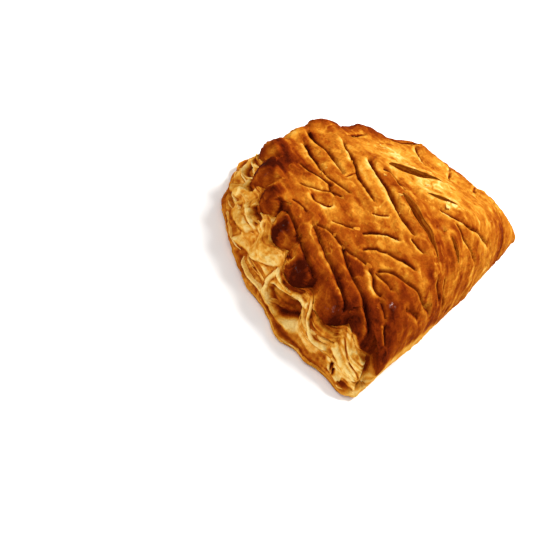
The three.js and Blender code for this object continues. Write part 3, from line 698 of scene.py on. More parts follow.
def marks(x, deep):
    """How the scores shape each point, its nearness to one, the painted highlight and shade of its lips,
    and its strip's tone.
    """
    groove, lip_light_and_shade, strip_tone = np.zeros((3, *x.shape))
    nearest = np.full(x.shape, 30.0)
    for number, (line, width, depth) in enumerate(SCORES):
        curve = smooth_line(line, 16)
        near = beside(curve, x, deep, MARK_REACH)
        px, pd = x[near], deep[near]
        away, which, along = to_line(curve, px, pd)
        ends = np.minimum(along, 1 - along)
        bent = BEND * flat_chance(px, pd, 4, 40 + number)
        bent = bent + FINE_BEND * flat_chance(px, pd, 1.2, 41 + number)
        signed = away * which + bent * ease(ends / 0.1)
        across = np.hypot(signed, np.where(ends > 0, 0, away))
        fade = ease(ends / 0.09) * (1 + 0.3 * flat_chance(px, pd, 5, 60 + number))
        way = curve[-1] - curve[0]
        facing = -np.sign(way[0] * LIFTED_SIDE[1] - way[1] * LIFTED_SIDE[0])
        upper = ease(0.5 + signed * facing / 0.4)
        crack = CRACK_DEEP * falloff(across, 0.24 + 0.09 * width)
        crack = crack + mix(0.15 * np.exp(-across / 1.3), 0.1 * np.exp(-across / 0.8), upper)
        lifted = mix(0, LIFT_RISE, upper) * np.exp(-across / 2.4) * (1 - falloff(across, 0.5))
        groove[near] += fade * depth * (lifted - crack)
        faint = 1.2 * (1 - np.minimum(fade, 1)) + 0.3 * (1 - min(depth / 1.2, 1))
        nearest[near] = np.minimum(nearest[near], across / (0.64 + 0.26 * width) + faint)
        # painted light on the lips: the lip on the lifted side is painted lighter as highlight, the other
        # darker as shade
        lip_painted_light = mix(-0.45, 1, upper) * falloff(across - 1.15, 0.5) * fade
        lip_light_and_shade[near] = np.where(np.abs(lip_painted_light) > np.abs(lip_light_and_shade[near]), lip_painted_light, lip_light_and_shade[near])
        own = 2 * (0.618 * number % 1) - 1
        strip_tone[near] += own * np.sign(signed) * np.exp(-across / 3) * np.minimum(fade, 1)
    return groove, nearest, lip_light_and_shade, strip_tone


def slit_distance(x, deep):
    """Distance to the nearest open slash, below nothing inside it."""
    nearest = np.full(x.shape, 30.0)
    for line, width, _ in SLITS:
        away, _, _ = to_line(smooth_line(line, 12), x, deep)
        nearest = np.minimum(nearest, away - width / 2)
    return nearest


GRAIN_X, GRAIN_Y = 0.62, 0.78       # the way the dough was rolled


def along_grain(x, y):
    """Lengths along and across the way the dough was rolled."""
    return GRAIN_X * x + GRAIN_Y * y, GRAIN_Y * x - GRAIN_X * y


def between_sheets(share_up):
    """1 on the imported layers, 0 on the underside and on the top sheet."""
    return ease((share_up - 0.02) / 0.05) * (1 - ease((share_up - 0.9) / 0.08))


def away_from_fold(deep):
    """0 on the fold, 1 on the cut edge."""
    return ease((deep - 1) / 5)


def flake_field(x, y, z):
    """A slowly changing value; a large flake ends at each whole number."""
    return 2.6 * rough(x, y, z, 13, 7) + 0.6 * chance(x, y, z, 2.6, 9)


def small_flake_field(x, y, z):
    """The same for small flakes, which follow the grain."""
    long, short = along_grain(x, y)
    return 2.2 * rough(long * 0.55, short, z, 5.5, 17)


def terraces(field, rim):
    """Terraces with sharp rims, where thin flakes have come away."""
    level = np.floor(field)
    return level + ease((field - level) / rim)


# how high each kind of relief stands
PILLOW, TORN_FLAKE, SMALL_FLAKE, SWELL = 0.17, 0.22, 0.11, 0.36
STREAK, BUBBLE, WRINKLE, GLAZE_BLISTER = 0.16, 0.22, 0.16, 0.45
LOBE_SINK, LOBE_ROUGH, FLUTE_FILL = 0.3, 0.75, 0.6
BLISTER_COUNT, BLISTER_RISE = 110, 0.2
LAYER_PITCH, LAYER_RISE, SIDE_ROUGH = 1.15, 0.4, 0.6
FOLD_ROUGH, FOOT_RISE = 0.3, 0.42

at = read_points(crust) / MM
normal = read_normals(crust)
share_up = stored(crust, "share_up")
x, y, z = at.T
deep = y - FOLD_Y
inward = np.clip(way_in(x, deep), 0, 1)
arc = arc_at(x, deep)
is_top = ease((share_up - 0.85) / 0.15)
groove, score_far, lip_light_and_shade, strip_tone = marks(x, deep)
slit_far = slit_distance(x, deep)
calm = ease(np.minimum(score_far, slit_far) / 2.0)
grain_x, grain_y = along_grain(x, y)
streaks = chance(grain_x * 0.22, grain_y, z * 0.3, 1.7, 3)
near_lobes = falloff(inward, 0.13)
top_relief = (groove
              + PILLOW * (ease(score_far / 2.6) - 0.6)
              + TORN_FLAKE * terraces(flake_field(x, y, z), 0.16) * (0.35 + 0.65 * calm)
              + SMALL_FLAKE * terraces(small_flake_field(x, y, z), 0.3) * calm
              + SWELL * rough(x, y, z, 6, 1)
              + STREAK * streaks * calm * (1 - 0.6 * ease((x - 10) / 20))
              + BUBBLE * np.abs(chance(x, y, z, 2.6, 5)) * calm
              + WRINKLE * np.abs(chance(grain_x, grain_y * 0.4, z, 1.9, 13)) * calm
              - LOBE_SINK * near_lobes * (1 - valley(arc)) * ease(inward / 0.03)
              + LOBE_ROUGH * near_lobes * rough(x, y, z, 5.5, 8)
              + FLUTE_FILL * FLUTE_DEPTH * valley(arc) * falloff(inward, FLUTE_REACH))
glazed = sum(np.exp(-(np.hypot(x - px, deep - pd) / size) ** 4) for px, pd, size in GLAZED)
glazed = np.minimum(glazed, 1)
top_relief = top_relief + GLAZE_BLISTER * np.abs(chance(x, y, z, 0.9, 14)) * glazed
rng = np.random.default_rng(7)
for _ in range(BLISTER_COUNT):
    angle, reach = rng.uniform(0, math.pi), math.sqrt(rng.uniform(0.02, 0.97))
    size = rng.uniform(0.7, 2.2)
    away = np.hypot(x + HALF * reach * math.cos(angle), deep - DEPTH * reach * math.sin(angle))
    top_relief = top_relief + BLISTER_RISE * size ** 0.5 * falloff(away, size) * calm
print("score depth in mm:", round(float(-groove.min()), 2))

ripple = 1.3 * rough(x, y, 0, 14, 11) + 0.5 * flat_chance(x, y, 4, 12)
layering = 0.5 - np.abs((z / LAYER_PITCH + ripple) % 1 - 0.5) * 2
edge_mask, off_fold = between_sheets(share_up), away_from_fold(deep)
side_relief = edge_mask * off_fold * (LAYER_RISE * layering + SIDE_ROUGH * rough(x, y, z * 2, 4, 2))
fold_relief = (1 - off_fold) * FOLD_ROUGH * rough(x, y, z, 6, 4)
foot_up = z + 0.5 * deep + 0.5 * rough(x, y, z, 9, 19)
foot_layers = 1 - 2 * np.abs(flat_chance(0.18 * x, foot_up, 1.25, 18))
foot_place = (1 - off_fold) * (1 - ease((z - 11) / 2.5))
foot_layers = foot_layers * foot_place * (0.3 + 0.7 * falloff(np.maximum(x + 68, 0), 9))
fold_relief = fold_relief + FOOT_RISE * foot_layers
relief = top_relief * is_top + side_relief + fold_relief * (1 - is_top) * (share_up > 0.05)
relief = relief * ease(z / 0.8)
at = at + normal * relief[:, None] + wander(x, deep, z)
at[:, 2] = np.maximum(at[:, 2], 0)
write_points(crust, at * MM)
store(crust, "skin", np.ones(len(at)))
for name, values in (("lip_light_and_shade", lip_light_and_shade), ("is_top", is_top), ("layering", layering),
                     ("foot_layers", foot_layers), ("glazed", glazed * is_top)):
    store(crust, name, values)
print("relief in mm:", round(float(relief.min()), 2), "to", round(float(relief.max()), 2))

# %% [markdown]
# ## The hollow
#
# Between the sheets there is room for the fruit. A ball is shaped into that
# hollow, flat below and domed above, with the thickness of the dough left all
# round. Thickening the skin inwards would fold over itself at the thin rim.

# %% The hollow
FLOOR_SHARE, FLOOR_REACH = 0.3, 0.94     # the part of the ball that makes the flat floor


def inside_shape(name, columns, rows, inset, sag, lumps):
    """A ball shaped to fill the room between the sheets, inset away from them."""
    piece, ring, column = ball_primitive(name, columns, rows)
    turn = 2 * math.pi * column / columns
    across, up = np.cos(turn), np.sin(turn)
    reach = 1 - SEAL_SHARE
    edge_x = (HALF * reach - inset) * across
    near_fold = FOLD_WALL - FOLD_BOW * (1 - (edge_x / HALF) ** 2) + inset
    near_fold = near_fold + 9 * (1 - np.abs(up) ** 0.6)
    edge_deep = near_fold + (DEPTH * reach - inset - near_fold) * np.maximum(up, 0)
    edge_x = edge_x * np.where(up < 0, 0.985, 1)
    floor = BOTTOM_SHEET + inset
    share = ring / rows
    low = share <= FLOOR_SHARE
    dome_out = 1 - np.clip((share - FLOOR_SHARE) / (1 - FLOOR_SHARE), 0, 1) ** 1.4
    out = np.where(low, share / FLOOR_SHARE * FLOOR_REACH, dome_out)
    px, pd = edge_x * out, mix(CENTRE_DEEP, edge_deep, out)
    k = 1 - np.clip((1 - out) / 0.28, 0, 1)
    roof = top_height(px, pd) - TOP_SHEET - inset - sag + lumps(px, pd)
    pz = np.where(low, floor, mix(floor + 3, roof, np.sqrt(1 - k * k)))
    place_points(piece, px, pd, pz)
    return piece


def no_lumps(x, deep):
    return np.zeros(x.shape)


hollow = inside_shape("hollow", 72, 30, 0, 0, no_lumps)
merge_and_face_out(hollow)
print("hollow:", triangles(hollow), "triangles")

# %% [markdown]
# ## The open slashes
#
# The slashes go right through the top sheet, so they are cut with real blades.
# Each blade is a ball spread along the slash's line. Its sides are wavy,
# because a cut through laminated dough opens into little steps. The Boolean
# modifier takes out the hollow and then the blades.

# %% The blades
LAYER_LINES = 5.2         # how closely the layers follow each other in a cut


def blade(number, line, width, skew, columns=72, rows=26):
    """The form of one open slash, made to be taken out of the crust."""
    piece, ring, column = ball_primitive(f"blade_{number}", columns, rows)
    turn = 2 * math.pi * column / columns
    share = ring / rows
    along = 0.5 - 0.5 * np.cos(turn)
    curve = smooth_line(line, 60)
    way = np.gradient(curve, axis=0)
    way = way / np.linalg.norm(way, axis=1)[:, None]
    places = np.linspace(0, 1, 61)
    cx, cd = np.interp(along, places, curve[:, 0]), np.interp(along, places, curve[:, 1])
    wx, wd = np.interp(along, places, way[:, 0]), np.interp(along, places, way[:, 1])
    middle = curve[30]
    low = float(top_height(*[np.array([value]) for value in middle])[0]) - TOP_SHEET - 4
    pz = mix(low, CROWN_HEIGHT + 5, share)
    ledges = 0.22 * np.sign(np.sin(pz * LAYER_LINES + 2 * flat_chance(cx, cd, 4, number)))
    ragged = 0.35 * rough(cx, cd, pz * 2, 2.2, 50 + number) + ledges
    half = (0.5 * width + ragged * 0.5) * np.sin(math.pi * along ** skew) ** 0.7
    half = half * mix(0.7, 1.05, np.clip((pz - low - 3) / (TOP_SHEET + 1), 0, 1))
    half = np.maximum(half, 0.12) * np.sign(np.sin(turn) + 1e-12)
    pinch = np.where((ring == 0) | (ring == rows), 0, 1)
    px = mix(middle[0], cx - wd * half, pinch)
    pd = mix(middle[1], cd + wx * half, pinch)
    place_points(piece, px, pd, pz)
    merge_and_face_out(piece)
    return piece


blades = [blade(number, *slit) for number, slit in enumerate(SLITS)]
for cutter in [hollow] + blades:
    before = len(crust.data.vertices)
    apply_modifier(crust, "BOOLEAN", object=cutter, operation="DIFFERENCE", solver="MANIFOLD")
    print(cutter.name, "cut:", before, "to", len(crust.data.vertices), "points")
    bpy.data.objects.remove(cutter)
print("crust:", triangles(crust), "triangles")
smooth_but_sharp(crust, 60)

# %% [markdown]
# ## Browning
#
# How brown each place is follows mostly from the oven: the thin lobes and the near
# corner caught most heat, and the side of the fold and the layers that opened
# late stayed pale. Some of it is painted light and shade: the knife scores are
# painted dark along their cracks as shade, and the lips, flake rims, layers and
# insides of the cuts get painted highlight and shade. The number is kept on the
# points, and the material turns it into colour. It could be painted with a
# brush, but numbers can be changed and run again.

# %% Browning of the crust
# places that caught more heat (or less): x, deep, radius, how much
SCORCHED = [
    (-63, 3, 9, 0.26), (-57, 16, 9, 0.16), (-57, 35, 6, 0.06), (-48, 51, 6, 0.02),
    (-46.9, 53.5, 2.3, 0.5), (-55.8, 39.6, 3.4, 0.34), (-36, 64.5, 3, 0.34), (-44, 41, 6, 0.16),
    (-22, 70.5, 6.5, 0.32), (-54, 29, 5, 0.10), (-40, 34, 6, 0.08), (-11, 60, 4, -0.14),
    (-9, 8, 3.5, 0.10), (-41, 1, 4.5, 0.16), (-26, 2, 6, 0.12), (-51, 4.5, 4, 0.12),
    (-49, 23, 4, 0.10), (0, 39, 4.5, -0.12), (13, 43.5, 3, -0.12), (4, 47.5, 4, -0.16),
    (-7, 56, 4, -0.12), (-17, 52.5, 4, -0.10), (-9, 46, 4.5, -0.12), (-3, 65, 4, -0.06),
    (-65, 15.5, 4, 0.14), (-51.5, 45, 2.8, -0.12), (-36, 52, 4.5, 0.10), (-12, 28, 4, -0.14),
    (-8, 25, 3.5, -0.08), (-15, 9, 4, 0.08), (-36, 25, 4, 0.08), (-49.5, 15.5, 3, -0.10),
    (-39, 12, 3.5, -0.08), (-26, 15, 3.5, -0.08), (1.5, 12.5, 4, -0.10), (38, 1.5, 4, 0.10),
    (-42, 58.5, 3, -0.08), (-44.6, 56.7, 2, -0.3), (-48.6, 53.6, 1.8, -0.44),
    (-48.9, 50.2, 1.8, -0.16), (-46.9, 47.8, 1.5, -0.1), (-24, 71.5, 3, 0.2), (-16, 70, 3.5, 0.14),
    (-38.4, 65.6, 1.6, -0.5), (-28.5, 73.5, 1.6, -0.35), (-23, 75.6, 1.5, -0.3),
    (-53.4, 43.6, 1.6, -0.35), (-57, 41, 1.5, -0.3), (-12, 73, 6, 0.12), (-50, 9, 6, 0.12),
    (15, 76, 5, 0.14), (-16, 22, 5, 0.04), (-8, 21, 4, 0.12), (37, 2, 7, 0.24), (60, 5, 6, 0.10),
    (26, 70, 7, 0.20), (44, 58, 7, 0.16), (1, 8, 4, 0.12), (14, 43, 3, 0.10), (-18, 9, 7, 0.16),
    (-34, 15, 6, 0.10), (56, 34, 6, 0.14), (-48, 27, 6, 0.10), (1, 38, 4, 0.28), (8, 71, 4, 0.08),
    (-28, 3, 5, 0.10), (-44.5, 18.5, 3.6, -0.24), (-30, 42, 7, -0.05), (-30, 61, 4.5, -0.04),
    (24, 44, 11, -0.06), (5, 28, 8, -0.10), (8, 17, 7, -0.10), (-1, 68, 3, -0.10),
    (-32.5, 8.5, 3, -0.10), (-13, 42, 6, -0.06), (-58.5, 29.5, 2.5, -0.30), (-62, 26.5, 2.5, -0.30),
    (-43.5, 60.5, 2.5, -0.20), (-32.5, 67.5, 3, -0.25), (1, 78, 4, -0.25), (-15.5, 76, 2.5, -0.25),
    (24, 47, 5.5, -0.16), (45, 36, 4, -0.14), (15, 29, 5, -0.14), (19, 24.5, 4, -0.12),
    (5.5, 19.5, 3, -0.16), (30, 38, 5, 0.08), (6, 11, 4, 0.06),
]


def browning_of_top(x, y, z):
    """0 for pale dough, 1 for burnt, before the scores are added."""
    deep = y - FOLD_Y
    inward = np.clip(way_in(x, deep), 0, 1)
    arc = arc_at(x, deep)
    left = ease((20 - x) / 45)
    rim = falloff(inward, 0.11)
    brown = 0.49 - 0.12 * ease((x + 12) / 36) + 0.07 * ease((-30 - x) / 26)
    brown = brown - 0.02 * ease((deep - 20) / 14) * ease((x + 38) / 14) + 0.05 * ease((deep - 50) / 10)
    for px, pd, size, amount in SCORCHED:
        away = np.hypot(x - px, deep - pd) + 0.3 * size * chance(x, y, z, size, 31)
        brown = brown + amount * falloff(np.maximum(away, 0), size)
    brown = brown + 0.24 * rim * mix(0.5, 1, left) * mix(1, 0.75, valley(arc))
    brown = brown + 0.3 * falloff(inward, 0.1) * ease((x - 12) / 20) * mix(1, 0.5, valley(arc))
    brown = brown + 0.06 * rough(x, y, z, 16, 21) + 0.05 * rough(x, y, z, 5, 22)
    streaked = 1 - 0.6 * ease((x - 5) / 25)
    grain_x, grain_y = along_grain(x, y)
    grain = chance(grain_x * 0.2, grain_y, z * 0.3, 1.6, 3)
    torn, small = flake_field(x, y, z), small_flake_field(x, y, z)
    patch = np.where(np.floor(torn) % 2 == 0, 0.035, -0.035)
    patch = patch + np.where(np.floor(small) % 2 == 0, 0.03, -0.03)
    torn, small = torn - np.floor(torn), small - np.floor(small)
    # painted highlight just past each flake's rim, and painted shade at its foot
    flake_rim_light_and_shade = 0.12 * falloff(torn - 0.20, 0.09) - 0.07 * falloff(torn, 0.08)
    streaky = chance(grain_x * 0.3, grain_y, z * 0.5, 3.4, 36)
    spots = 0.05 * chance(x, y, z, 2.6, 37) + 0.09 * streaky * streaked + patch
    # painted highlight just past each small flake's rim
    spots = spots - 0.07 * falloff(small - 0.28, 0.14)
    flake_rim_light_and_shade = flake_rim_light_and_shade * (0.4 + 2.4 * chance(x, y, z, 9, 35) ** 2)
    return brown + spots + 0.13 * grain * streaked - flake_rim_light_and_shade


at = read_points(crust) / MM
x, y, z = at.T
deep = y - FOLD_Y
skin, share_up, is_top = stored(crust, "skin"), stored(crust, "share_up"), stored(crust, "is_top")
layering, lip_light_and_shade = stored(crust, "layering"), stored(crust, "lip_light_and_shade")
pressed = valley(arc_at(x, deep))
_, score_far, _, strip_tone = marks(x, deep)
brown = browning_of_top(x, y, z)
# painted shade: each score is painted dark along its crack; its lips' painted highlight and shade and the
# strips' own tones are added too
brown = brown + 0.74 * falloff(score_far, 0.58) - 0.14 * lip_light_and_shade + 0.14 * strip_tone
brown = brown + 0.09 * ease((score_far - 0.7) / 2.2) - 0.06
slit_far = slit_distance(x, deep)
brown = brown - 0.12 * falloff(slit_far - 0.9, 0.8)
cheek = ease((share_up - 0.60 - 0.16 * pressed) / 0.06)
edge_mask, off_fold = between_sheets(share_up), away_from_fold(deep)
# painted highlight and shade: the layers' crests are painted lighter and the grooves between them darker
pale = 0.27 + 0.18 * rough(x, y, z * 2, 8, 23) - 0.20 * layering * edge_mask
pale = pale + 0.25 * falloff(share_up - 0.235, 0.03)
pale = pale + 0.15 * falloff(np.hypot(x + 50, deep - 58), 13)
# painted shade: the wall behind the folds and leaves, seen only through their gaps, is painted dark
pale = mix(pale, 0.8, ease((share_up - 0.13) / 0.03) * (1 - ease((share_up - 0.6) / 0.05)))
pale_height = 11.5 - 4 * falloff(x + 62.5, 4) - 8 * ease((x + 26) / 18)
fold_low = 1 - ease((z - pale_height + 1.2 * rough(x, y, z, 6, 26)) / 2.6)
# painted highlight and shade: the foot's layers are painted lighter on their crests and darker in the
# grooves
foot_tone = 0.22 + 0.1 * rough(x, y, z, 9, 25) - 0.2 * stored(crust, "foot_layers")
fold_tone = mix(brown, foot_tone, fold_low)
side_tone = mix(fold_tone, mix(pale, brown, cheek), off_fold)
brown = mix(side_tone, brown, is_top)
brown = mix(brown, fold_tone, is_top * (1 - ease((deep + 0.5) / 4)))
brown = mix(0.5 + 0.12 * rough(x, y, z, 14, 24), brown, ease(z / 1.2))
cut_face = 1 - ease((skin - 0.2) / 0.6)
below = top_height(x, deep) - z
layer_lines = np.sin(below * LAYER_LINES + 2 * chance(x, y, z, 4, 33))
# painted shade: the cut faces are painted darker the deeper they lie below the top
cut_tone = 0.44 + 0.26 * np.clip(below, 0, TOP_SHEET) / TOP_SHEET + 0.1 * layer_lines
brown = mix(brown, cut_tone, cut_face)
store(crust, "brown", np.clip(brown, 0, 1))
crumb = np.clip(mix((1 - is_top) * (1 - cheek) * off_fold, 1, cut_face), 0, 1)
store(crust, "crumb", crumb)
print("browning:", round(float(brown.min()), 2), "to", round(float(brown.max()), 2))

# %% [markdown]
# ## The folds of the cut edge
#
# Under the lobes the pressed layers hang like drapery. A fold starts in each
# valley, sweeps down under the next lobe and runs out on the ledge, with
# smooth hollows between. They are one band of dough, so they are made as one
# band: a grid primitive closed into a flat tube along the edge, whose front is
# raised along the crest of each fold. Sculpting brushes would do it by hand.

# %% Folds of the cut edge
# a crest or crease is given by length along the edge and share of its height
# each fold: its crest, how high, how wide above and below it, browning
FOLDS = [
    ([(28.5, 0.86), (27, 0.78), (25.5, 0.65), (23.5, 0.58), (20, 0.56), (17, 0.53), (13.5, 0.5)],
     1.1, 1.1, 1.3, 0.42),
    ([(30.5, 0.74), (28, 0.59), (27, 0.51), (25, 0.43), (22.5, 0.36), (20, 0.35), (14.5, 0.4)],
     1.5, 0.9, 0.9, 0.04),
    ([(12.5, 0.78), (10.5, 0.66), (8, 0.59), (5, 0.54), (1, 0.49)], 0.7, 1.1, 1.1, 0.12),
    ([(11.5, 0.7), (10, 0.6), (8, 0.53), (5.5, 0.48), (2.5, 0.43), (0.5, 0.4)],
     0.9, 1.1, 1.1, 0.08),
    ([(12.5, 0.54), (10.5, 0.48), (8, 0.45), (5, 0.41), (1.5, 0.36)], 0.6, 1.0, 1.0, 0.16),
    ([(15, 0.44), (13, 0.42), (11, 0.38), (9, 0.36), (6, 0.34), (2, 0.29)], 0.9, 1.0, 1.0, 0.08),
    ([(14, 0.33), (10.5, 0.3), (7, 0.275), (4.5, 0.26), (1, 0.24)], 0.7, 1.0, 0.9, 0.12),
    ([(15, 0.28), (11, 0.25), (7, 0.23), (4.5, 0.22), (1, 0.2)], 0.8, 0.8, 0.8, 0.08),
    ([(13, 0.24), (11, 0.21), (9.5, 0.19), (8, 0.18)], 0.8, 0.5, 0.5, 0.1),
    ([(71, 0.2), (68, 0.22), (63.5, 0.25), (58, 0.35), (55, 0.41), (52.5, 0.46), (47.5, 0.57)],
     1.3, 3.6, 0.6, 0.1),
    ([(47.5, 0.56), (47.3, 0.5), (47.8, 0.41), (47.5, 0.34), (46.5, 0.24), (44, 0.2), (41, 0.18)],
     1.4, 0.9, 1.2, 0.08),
    ([(48, 0.5), (45.5, 0.55), (42, 0.57), (40, 0.57)], 1.1, 0.6, 0.6, 0.12),
    ([(37, 0.57), (34, 0.53), (31.5, 0.5), (29.5, 0.55)], 1.1, 0.8, 1.0, 0.16),
    ([(50, 0.8), (48, 0.76), (46, 0.69), (44, 0.63), (40.8, 0.61), (35, 0.67), (30, 0.82)],
     1.0, 0.9, 1.0, 0.44),
    ([(59.5, 0.29), (55, 0.28), (52, 0.27), (49, 0.26)], 0.6, 0.5, 0.5, 0.12),
    ([(56, 0.385), (52.5, 0.385), (49, 0.38)], 0.6, 0.5, 0.5, 0.12),
    ([(62, 0.2), (56, 0.22), (50, 0.2), (46, 0.17)], 0.6, 0.5, 0.5, 0.14),
    ([(66, 0.45), (60, 0.5), (54, 0.57), (50, 0.62)], 0.9, 2.6, 3.0, 0.2),
    ([(86, 0.34), (83, 0.27), (79, 0.28), (74, 0.35), (70, 0.38), (68, 0.38)], 1.7, 1.7, 1.5, 0.07),
    ([(83, 0.42), (77, 0.49), (72, 0.51), (69, 0.46), (67.5, 0.43)], 1.2, 0.8, 0.8, 0.12),
    ([(83, 0.5), (75.5, 0.6), (70.5, 0.65), (67.5, 0.67)], 0.9, 0.9, 0.8, 0.24),
    ([(69, 0.58), (66, 0.52), (61, 0.53), (56, 0.57), (52, 0.64)], 0.7, 0.5, 0.5, 0.16),
    ([(68, 0.5), (64, 0.47), (58, 0.52), (53, 0.6), (50.5, 0.66)], 0.6, 0.5, 0.5, 0.12),
    ([(81, 0.7), (78, 0.64), (74, 0.62), (70.5, 0.68), (66.5, 0.78)], 0.9, 0.8, 0.9, 0.42),
    ([(67.5, 0.66), (65.5, 0.6), (62.5, 0.58), (57.5, 0.6), (53, 0.72), (50.8, 0.76)],
     0.9, 0.8, 0.9, 0.42),
    ([(100, 0.24), (95, 0.28), (90, 0.36), (87, 0.44)], 1.8, 2.5, 1.6, 0.1),
    ([(104, 0.36), (98, 0.44), (93, 0.53)], 0.8, 0.7, 0.7, 0.08),
    ([(35, 0.2), (31, 0.22), (27, 0.25), (22, 0.24), (17, 0.27)], 0.5, 0.8, 0.7, 0.12),
    ([(27, 0.31), (23, 0.29), (18, 0.31), (14, 0.33)], 0.5, 0.7, 0.6, 0.12),
]
# each crease: its line, how deep, its width, browning; the browning is painted shade in the crease
CREASES = [
    ([(27, 0.58), (24, 0.5), (20, 0.45), (16, 0.43)], 0.7, 1.0, 0.5),
    ([(12, 0.57), (10, 0.51), (8, 0.47), (5, 0.44), (1.5, 0.38)], 0.6, 0.3, 0.5),
    ([(43, 0.59), (39, 0.6), (36.5, 0.6), (34, 0.63)], 1.4, 0.6, 0.8),
    ([(75, 0.56), (70.5, 0.57), (69, 0.52)], 1.2, 0.7, 0.62),
    ([(103, 0.42), (97, 0.5), (91, 0.62), (86, 0.66)], 1.2, 0.45, 0.6),
    ([(92, 0.76), (87.5, 0.76), (85, 0.72)], 1.2, 0.45, 0.6),
    ([(90, 0.55), (86, 0.58)], 1.0, 0.45, 0.6),
    ([(65, 0.17), (58, 0.19), (50, 0.19), (42, 0.16), (36, 0.14), (30, 0.16), (25, 0.14), (9, 0.12)],
     0.9, 0.6, 0.62),
    ([(7.5, 0.17), (5, 0.175), (2, 0.15)], 3.4, 0.9, 0.95),
    ([(12, 0.245), (11.3, 0.24)], 2.0, 0.5, 0.9),
    ([(10.8, 0.222), (10.2, 0.215)], 2.0, 0.5, 0.9),
]
FOLD_RISE = 20.0          # mm of height that a whole share stands for
FOLD_COLUMNS, FOLD_FRONT, FOLD_BEHIND = 800, 84, 6

# the lobes at the back are pressed the same way, so their folds follow the same plan
fold_rng = np.random.default_rng(5)
for tip, following in zip(LOBE_TIPS[6:-1], LOBE_TIPS[7:]):
    foot = (tip + following) / 2
    swing = fold_rng.uniform(-1, 1, 6)
    FOLDS += [
        ([(foot, 0.78), (foot - 3, 0.68), (tip, 0.6 + 0.03 * swing[0]), (tip - 5, 0.68), (tip - 8, 0.78)],
         1.0, 0.9, 1.0, 0.34),
        ([(foot, 0.7), (foot - 2, 0.55), (foot - 5, 0.44 + 0.03 * swing[1]), (foot - 9, 0.37),
          (foot - 14, 0.36)],
         1.3, 0.9 + 0.4 * swing[2] ** 2, 1.0, 0.08),
        ([(foot + 2, 0.52), (foot - 1, 0.4), (foot - 5, 0.3 + 0.03 * swing[3]), (foot - 12, 0.25)],
         1.0, 0.8, 0.8 + 0.5 * swing[4] ** 2, 0.12),
        ([(foot - 2, 0.62), (foot - 7, 0.52 + 0.03 * swing[5]), (foot - 12, 0.54), (foot - 15, 0.62)],
         0.8, 0.6, 0.7, 0.18)]
    CREASES += [([(foot - 3, 0.62), (tip, 0.57), (tip - 4, 0.62)], 1.0, 0.6, 0.66),
                ([(foot + 6, 0.17), (foot, 0.19), (foot - 6, 0.16)], 0.8, 0.6, 0.6)]


def outline_at(length):
    """The plan of the tips' outline, by length along it."""
    angle = np.interp(length, EDGE_LENGTHS, ANGLES)
    return -HALF * np.cos(angle), DEPTH * np.sin(angle)


def soft_valley(length):
    """The valleys with their sharp bottoms rounded, as a thick band follows them."""
    steps = (-2.4, -1.2, 0, 1.2, 2.4)
    return sum(valley(np.clip(length + step, 0, ARC_LENGTH)) for step in steps) / len(steps)


def folds_at(length, share):
    """How far the folds stand out at each place, and their browning."""
    height = np.zeros(length.shape)
    # darker low down on the edge: painted shade of the lower ledge
    tone = 0.29 + 0.1 * (1 - ease((share - 0.12) / 0.2))
    tone = tone + 0.17 * (1 - ease((length - 20) / 12)) - 0.12 * (1 - ease((length - 10) / 6))
    px, pu = length, share * FOLD_RISE
    bent = 0.35 * flat_chance(length, pu, 3.5, 101)
    for crest, rise, above, below, brown in FOLDS:
        line = smooth_line([(place, FOLD_RISE * level) for place, level in crest], 14)
        reach = max(above, below) + 1
        near = beside(line, px, pu, reach)
        away, side, along = to_line(line, px[near], pu[near] + bent[near])
        wide = np.where(side < 0, above, below)
        wide = wide * (1 + 0.25 * flat_chance(px[near], pu[near], 4, 102))
        form = np.maximum(1 - (away / wide) ** 2, 0) ** 0.7
        form = form * ease(np.minimum(along, 1 - along) / 0.12 + 0.15)
        higher = rise * form > height[near]
        height[near] = np.where(higher, rise * form, height[near])
        tone[near] = mix(tone[near], brown + 0.08, np.where(higher, form ** 0.5, 0))
    for line, depth, wide, brown in CREASES:
        line = smooth_line([(place, FOLD_RISE * level) for place, level in line], 14)
        near = beside(line, px, pu, 3)
        away, _, along = to_line(line, px[near], pu[near] + bent[near])
        cut = falloff(away, wide) * ease(np.minimum(along, 1 - along) / 0.2 + 0.4)
        height[near] -= depth * cut
        # painted shade: the crease is painted dark
        tone[near] = mix(tone[near], brown, cut ** 0.8)
    return height, tone


def soften(values, across, up):
    """The mean of each place's neighbours on the band's grid."""
    for axis, reach in ((0, up), (1, across)):
        values = sum(np.roll(values, step, axis) for step in range(-reach, reach + 1)) / (2 * reach + 1)
    return values


BAND_LOW, BAND_HIGH, BAND_VALLEY = 0.10, 0.64, 0.19     # shares of the edge's height
HOLLOW_DEEP, RIB_RISE, BAND_ROUGH = 3.2, 0.46, 0.35     # mm
BAND_SINK, BAND_STAND, BAND_THICK = -2.4, 0.3, 4.2      # mm
STAND_OUT, STAND_UP = 0.86, 0.36    # shares of a fold's height that go out and up
fold_band = grid_primitive("edge_folds", FOLD_COLUMNS, FOLD_FRONT + FOLD_BEHIND)
front = np.linspace(0, 1, FOLD_FRONT)
length, climb = np.meshgrid(np.linspace(0.3, ARC_LENGTH - 0.3, FOLD_COLUMNS), front)
pressed = soft_valley(length)
share = mix(BAND_LOW, BAND_HIGH + BAND_VALLEY * pressed, climb)
height, tone = folds_at(length, share)
up_mm = share * FOLD_RISE
drift = up_mm + 0.9 * flat_chance(length, up_mm, 9, 103)
ribs = 1 - 2 * np.abs(flat_chance(length * 0.16, drift, 1.15, 104))
ribbed = ease(0.55 + 0.9 * flat_chance(length, up_mm, 9, 105))
hollowed, hollow_tone = pocket(length, share, 1.2 * flat_chance(length, up_mm, 4, 106))
smooth_place = 1 - 0.85 * hollowed
height = height * (1 - 0.9 * hollowed) - HOLLOW_DEEP * hollowed
unruly = rough(length, up_mm * 1.6, 0, 7, 107)
height = height + smooth_place * (RIB_RISE * ribs * ribbed + BAND_ROUGH * unruly)
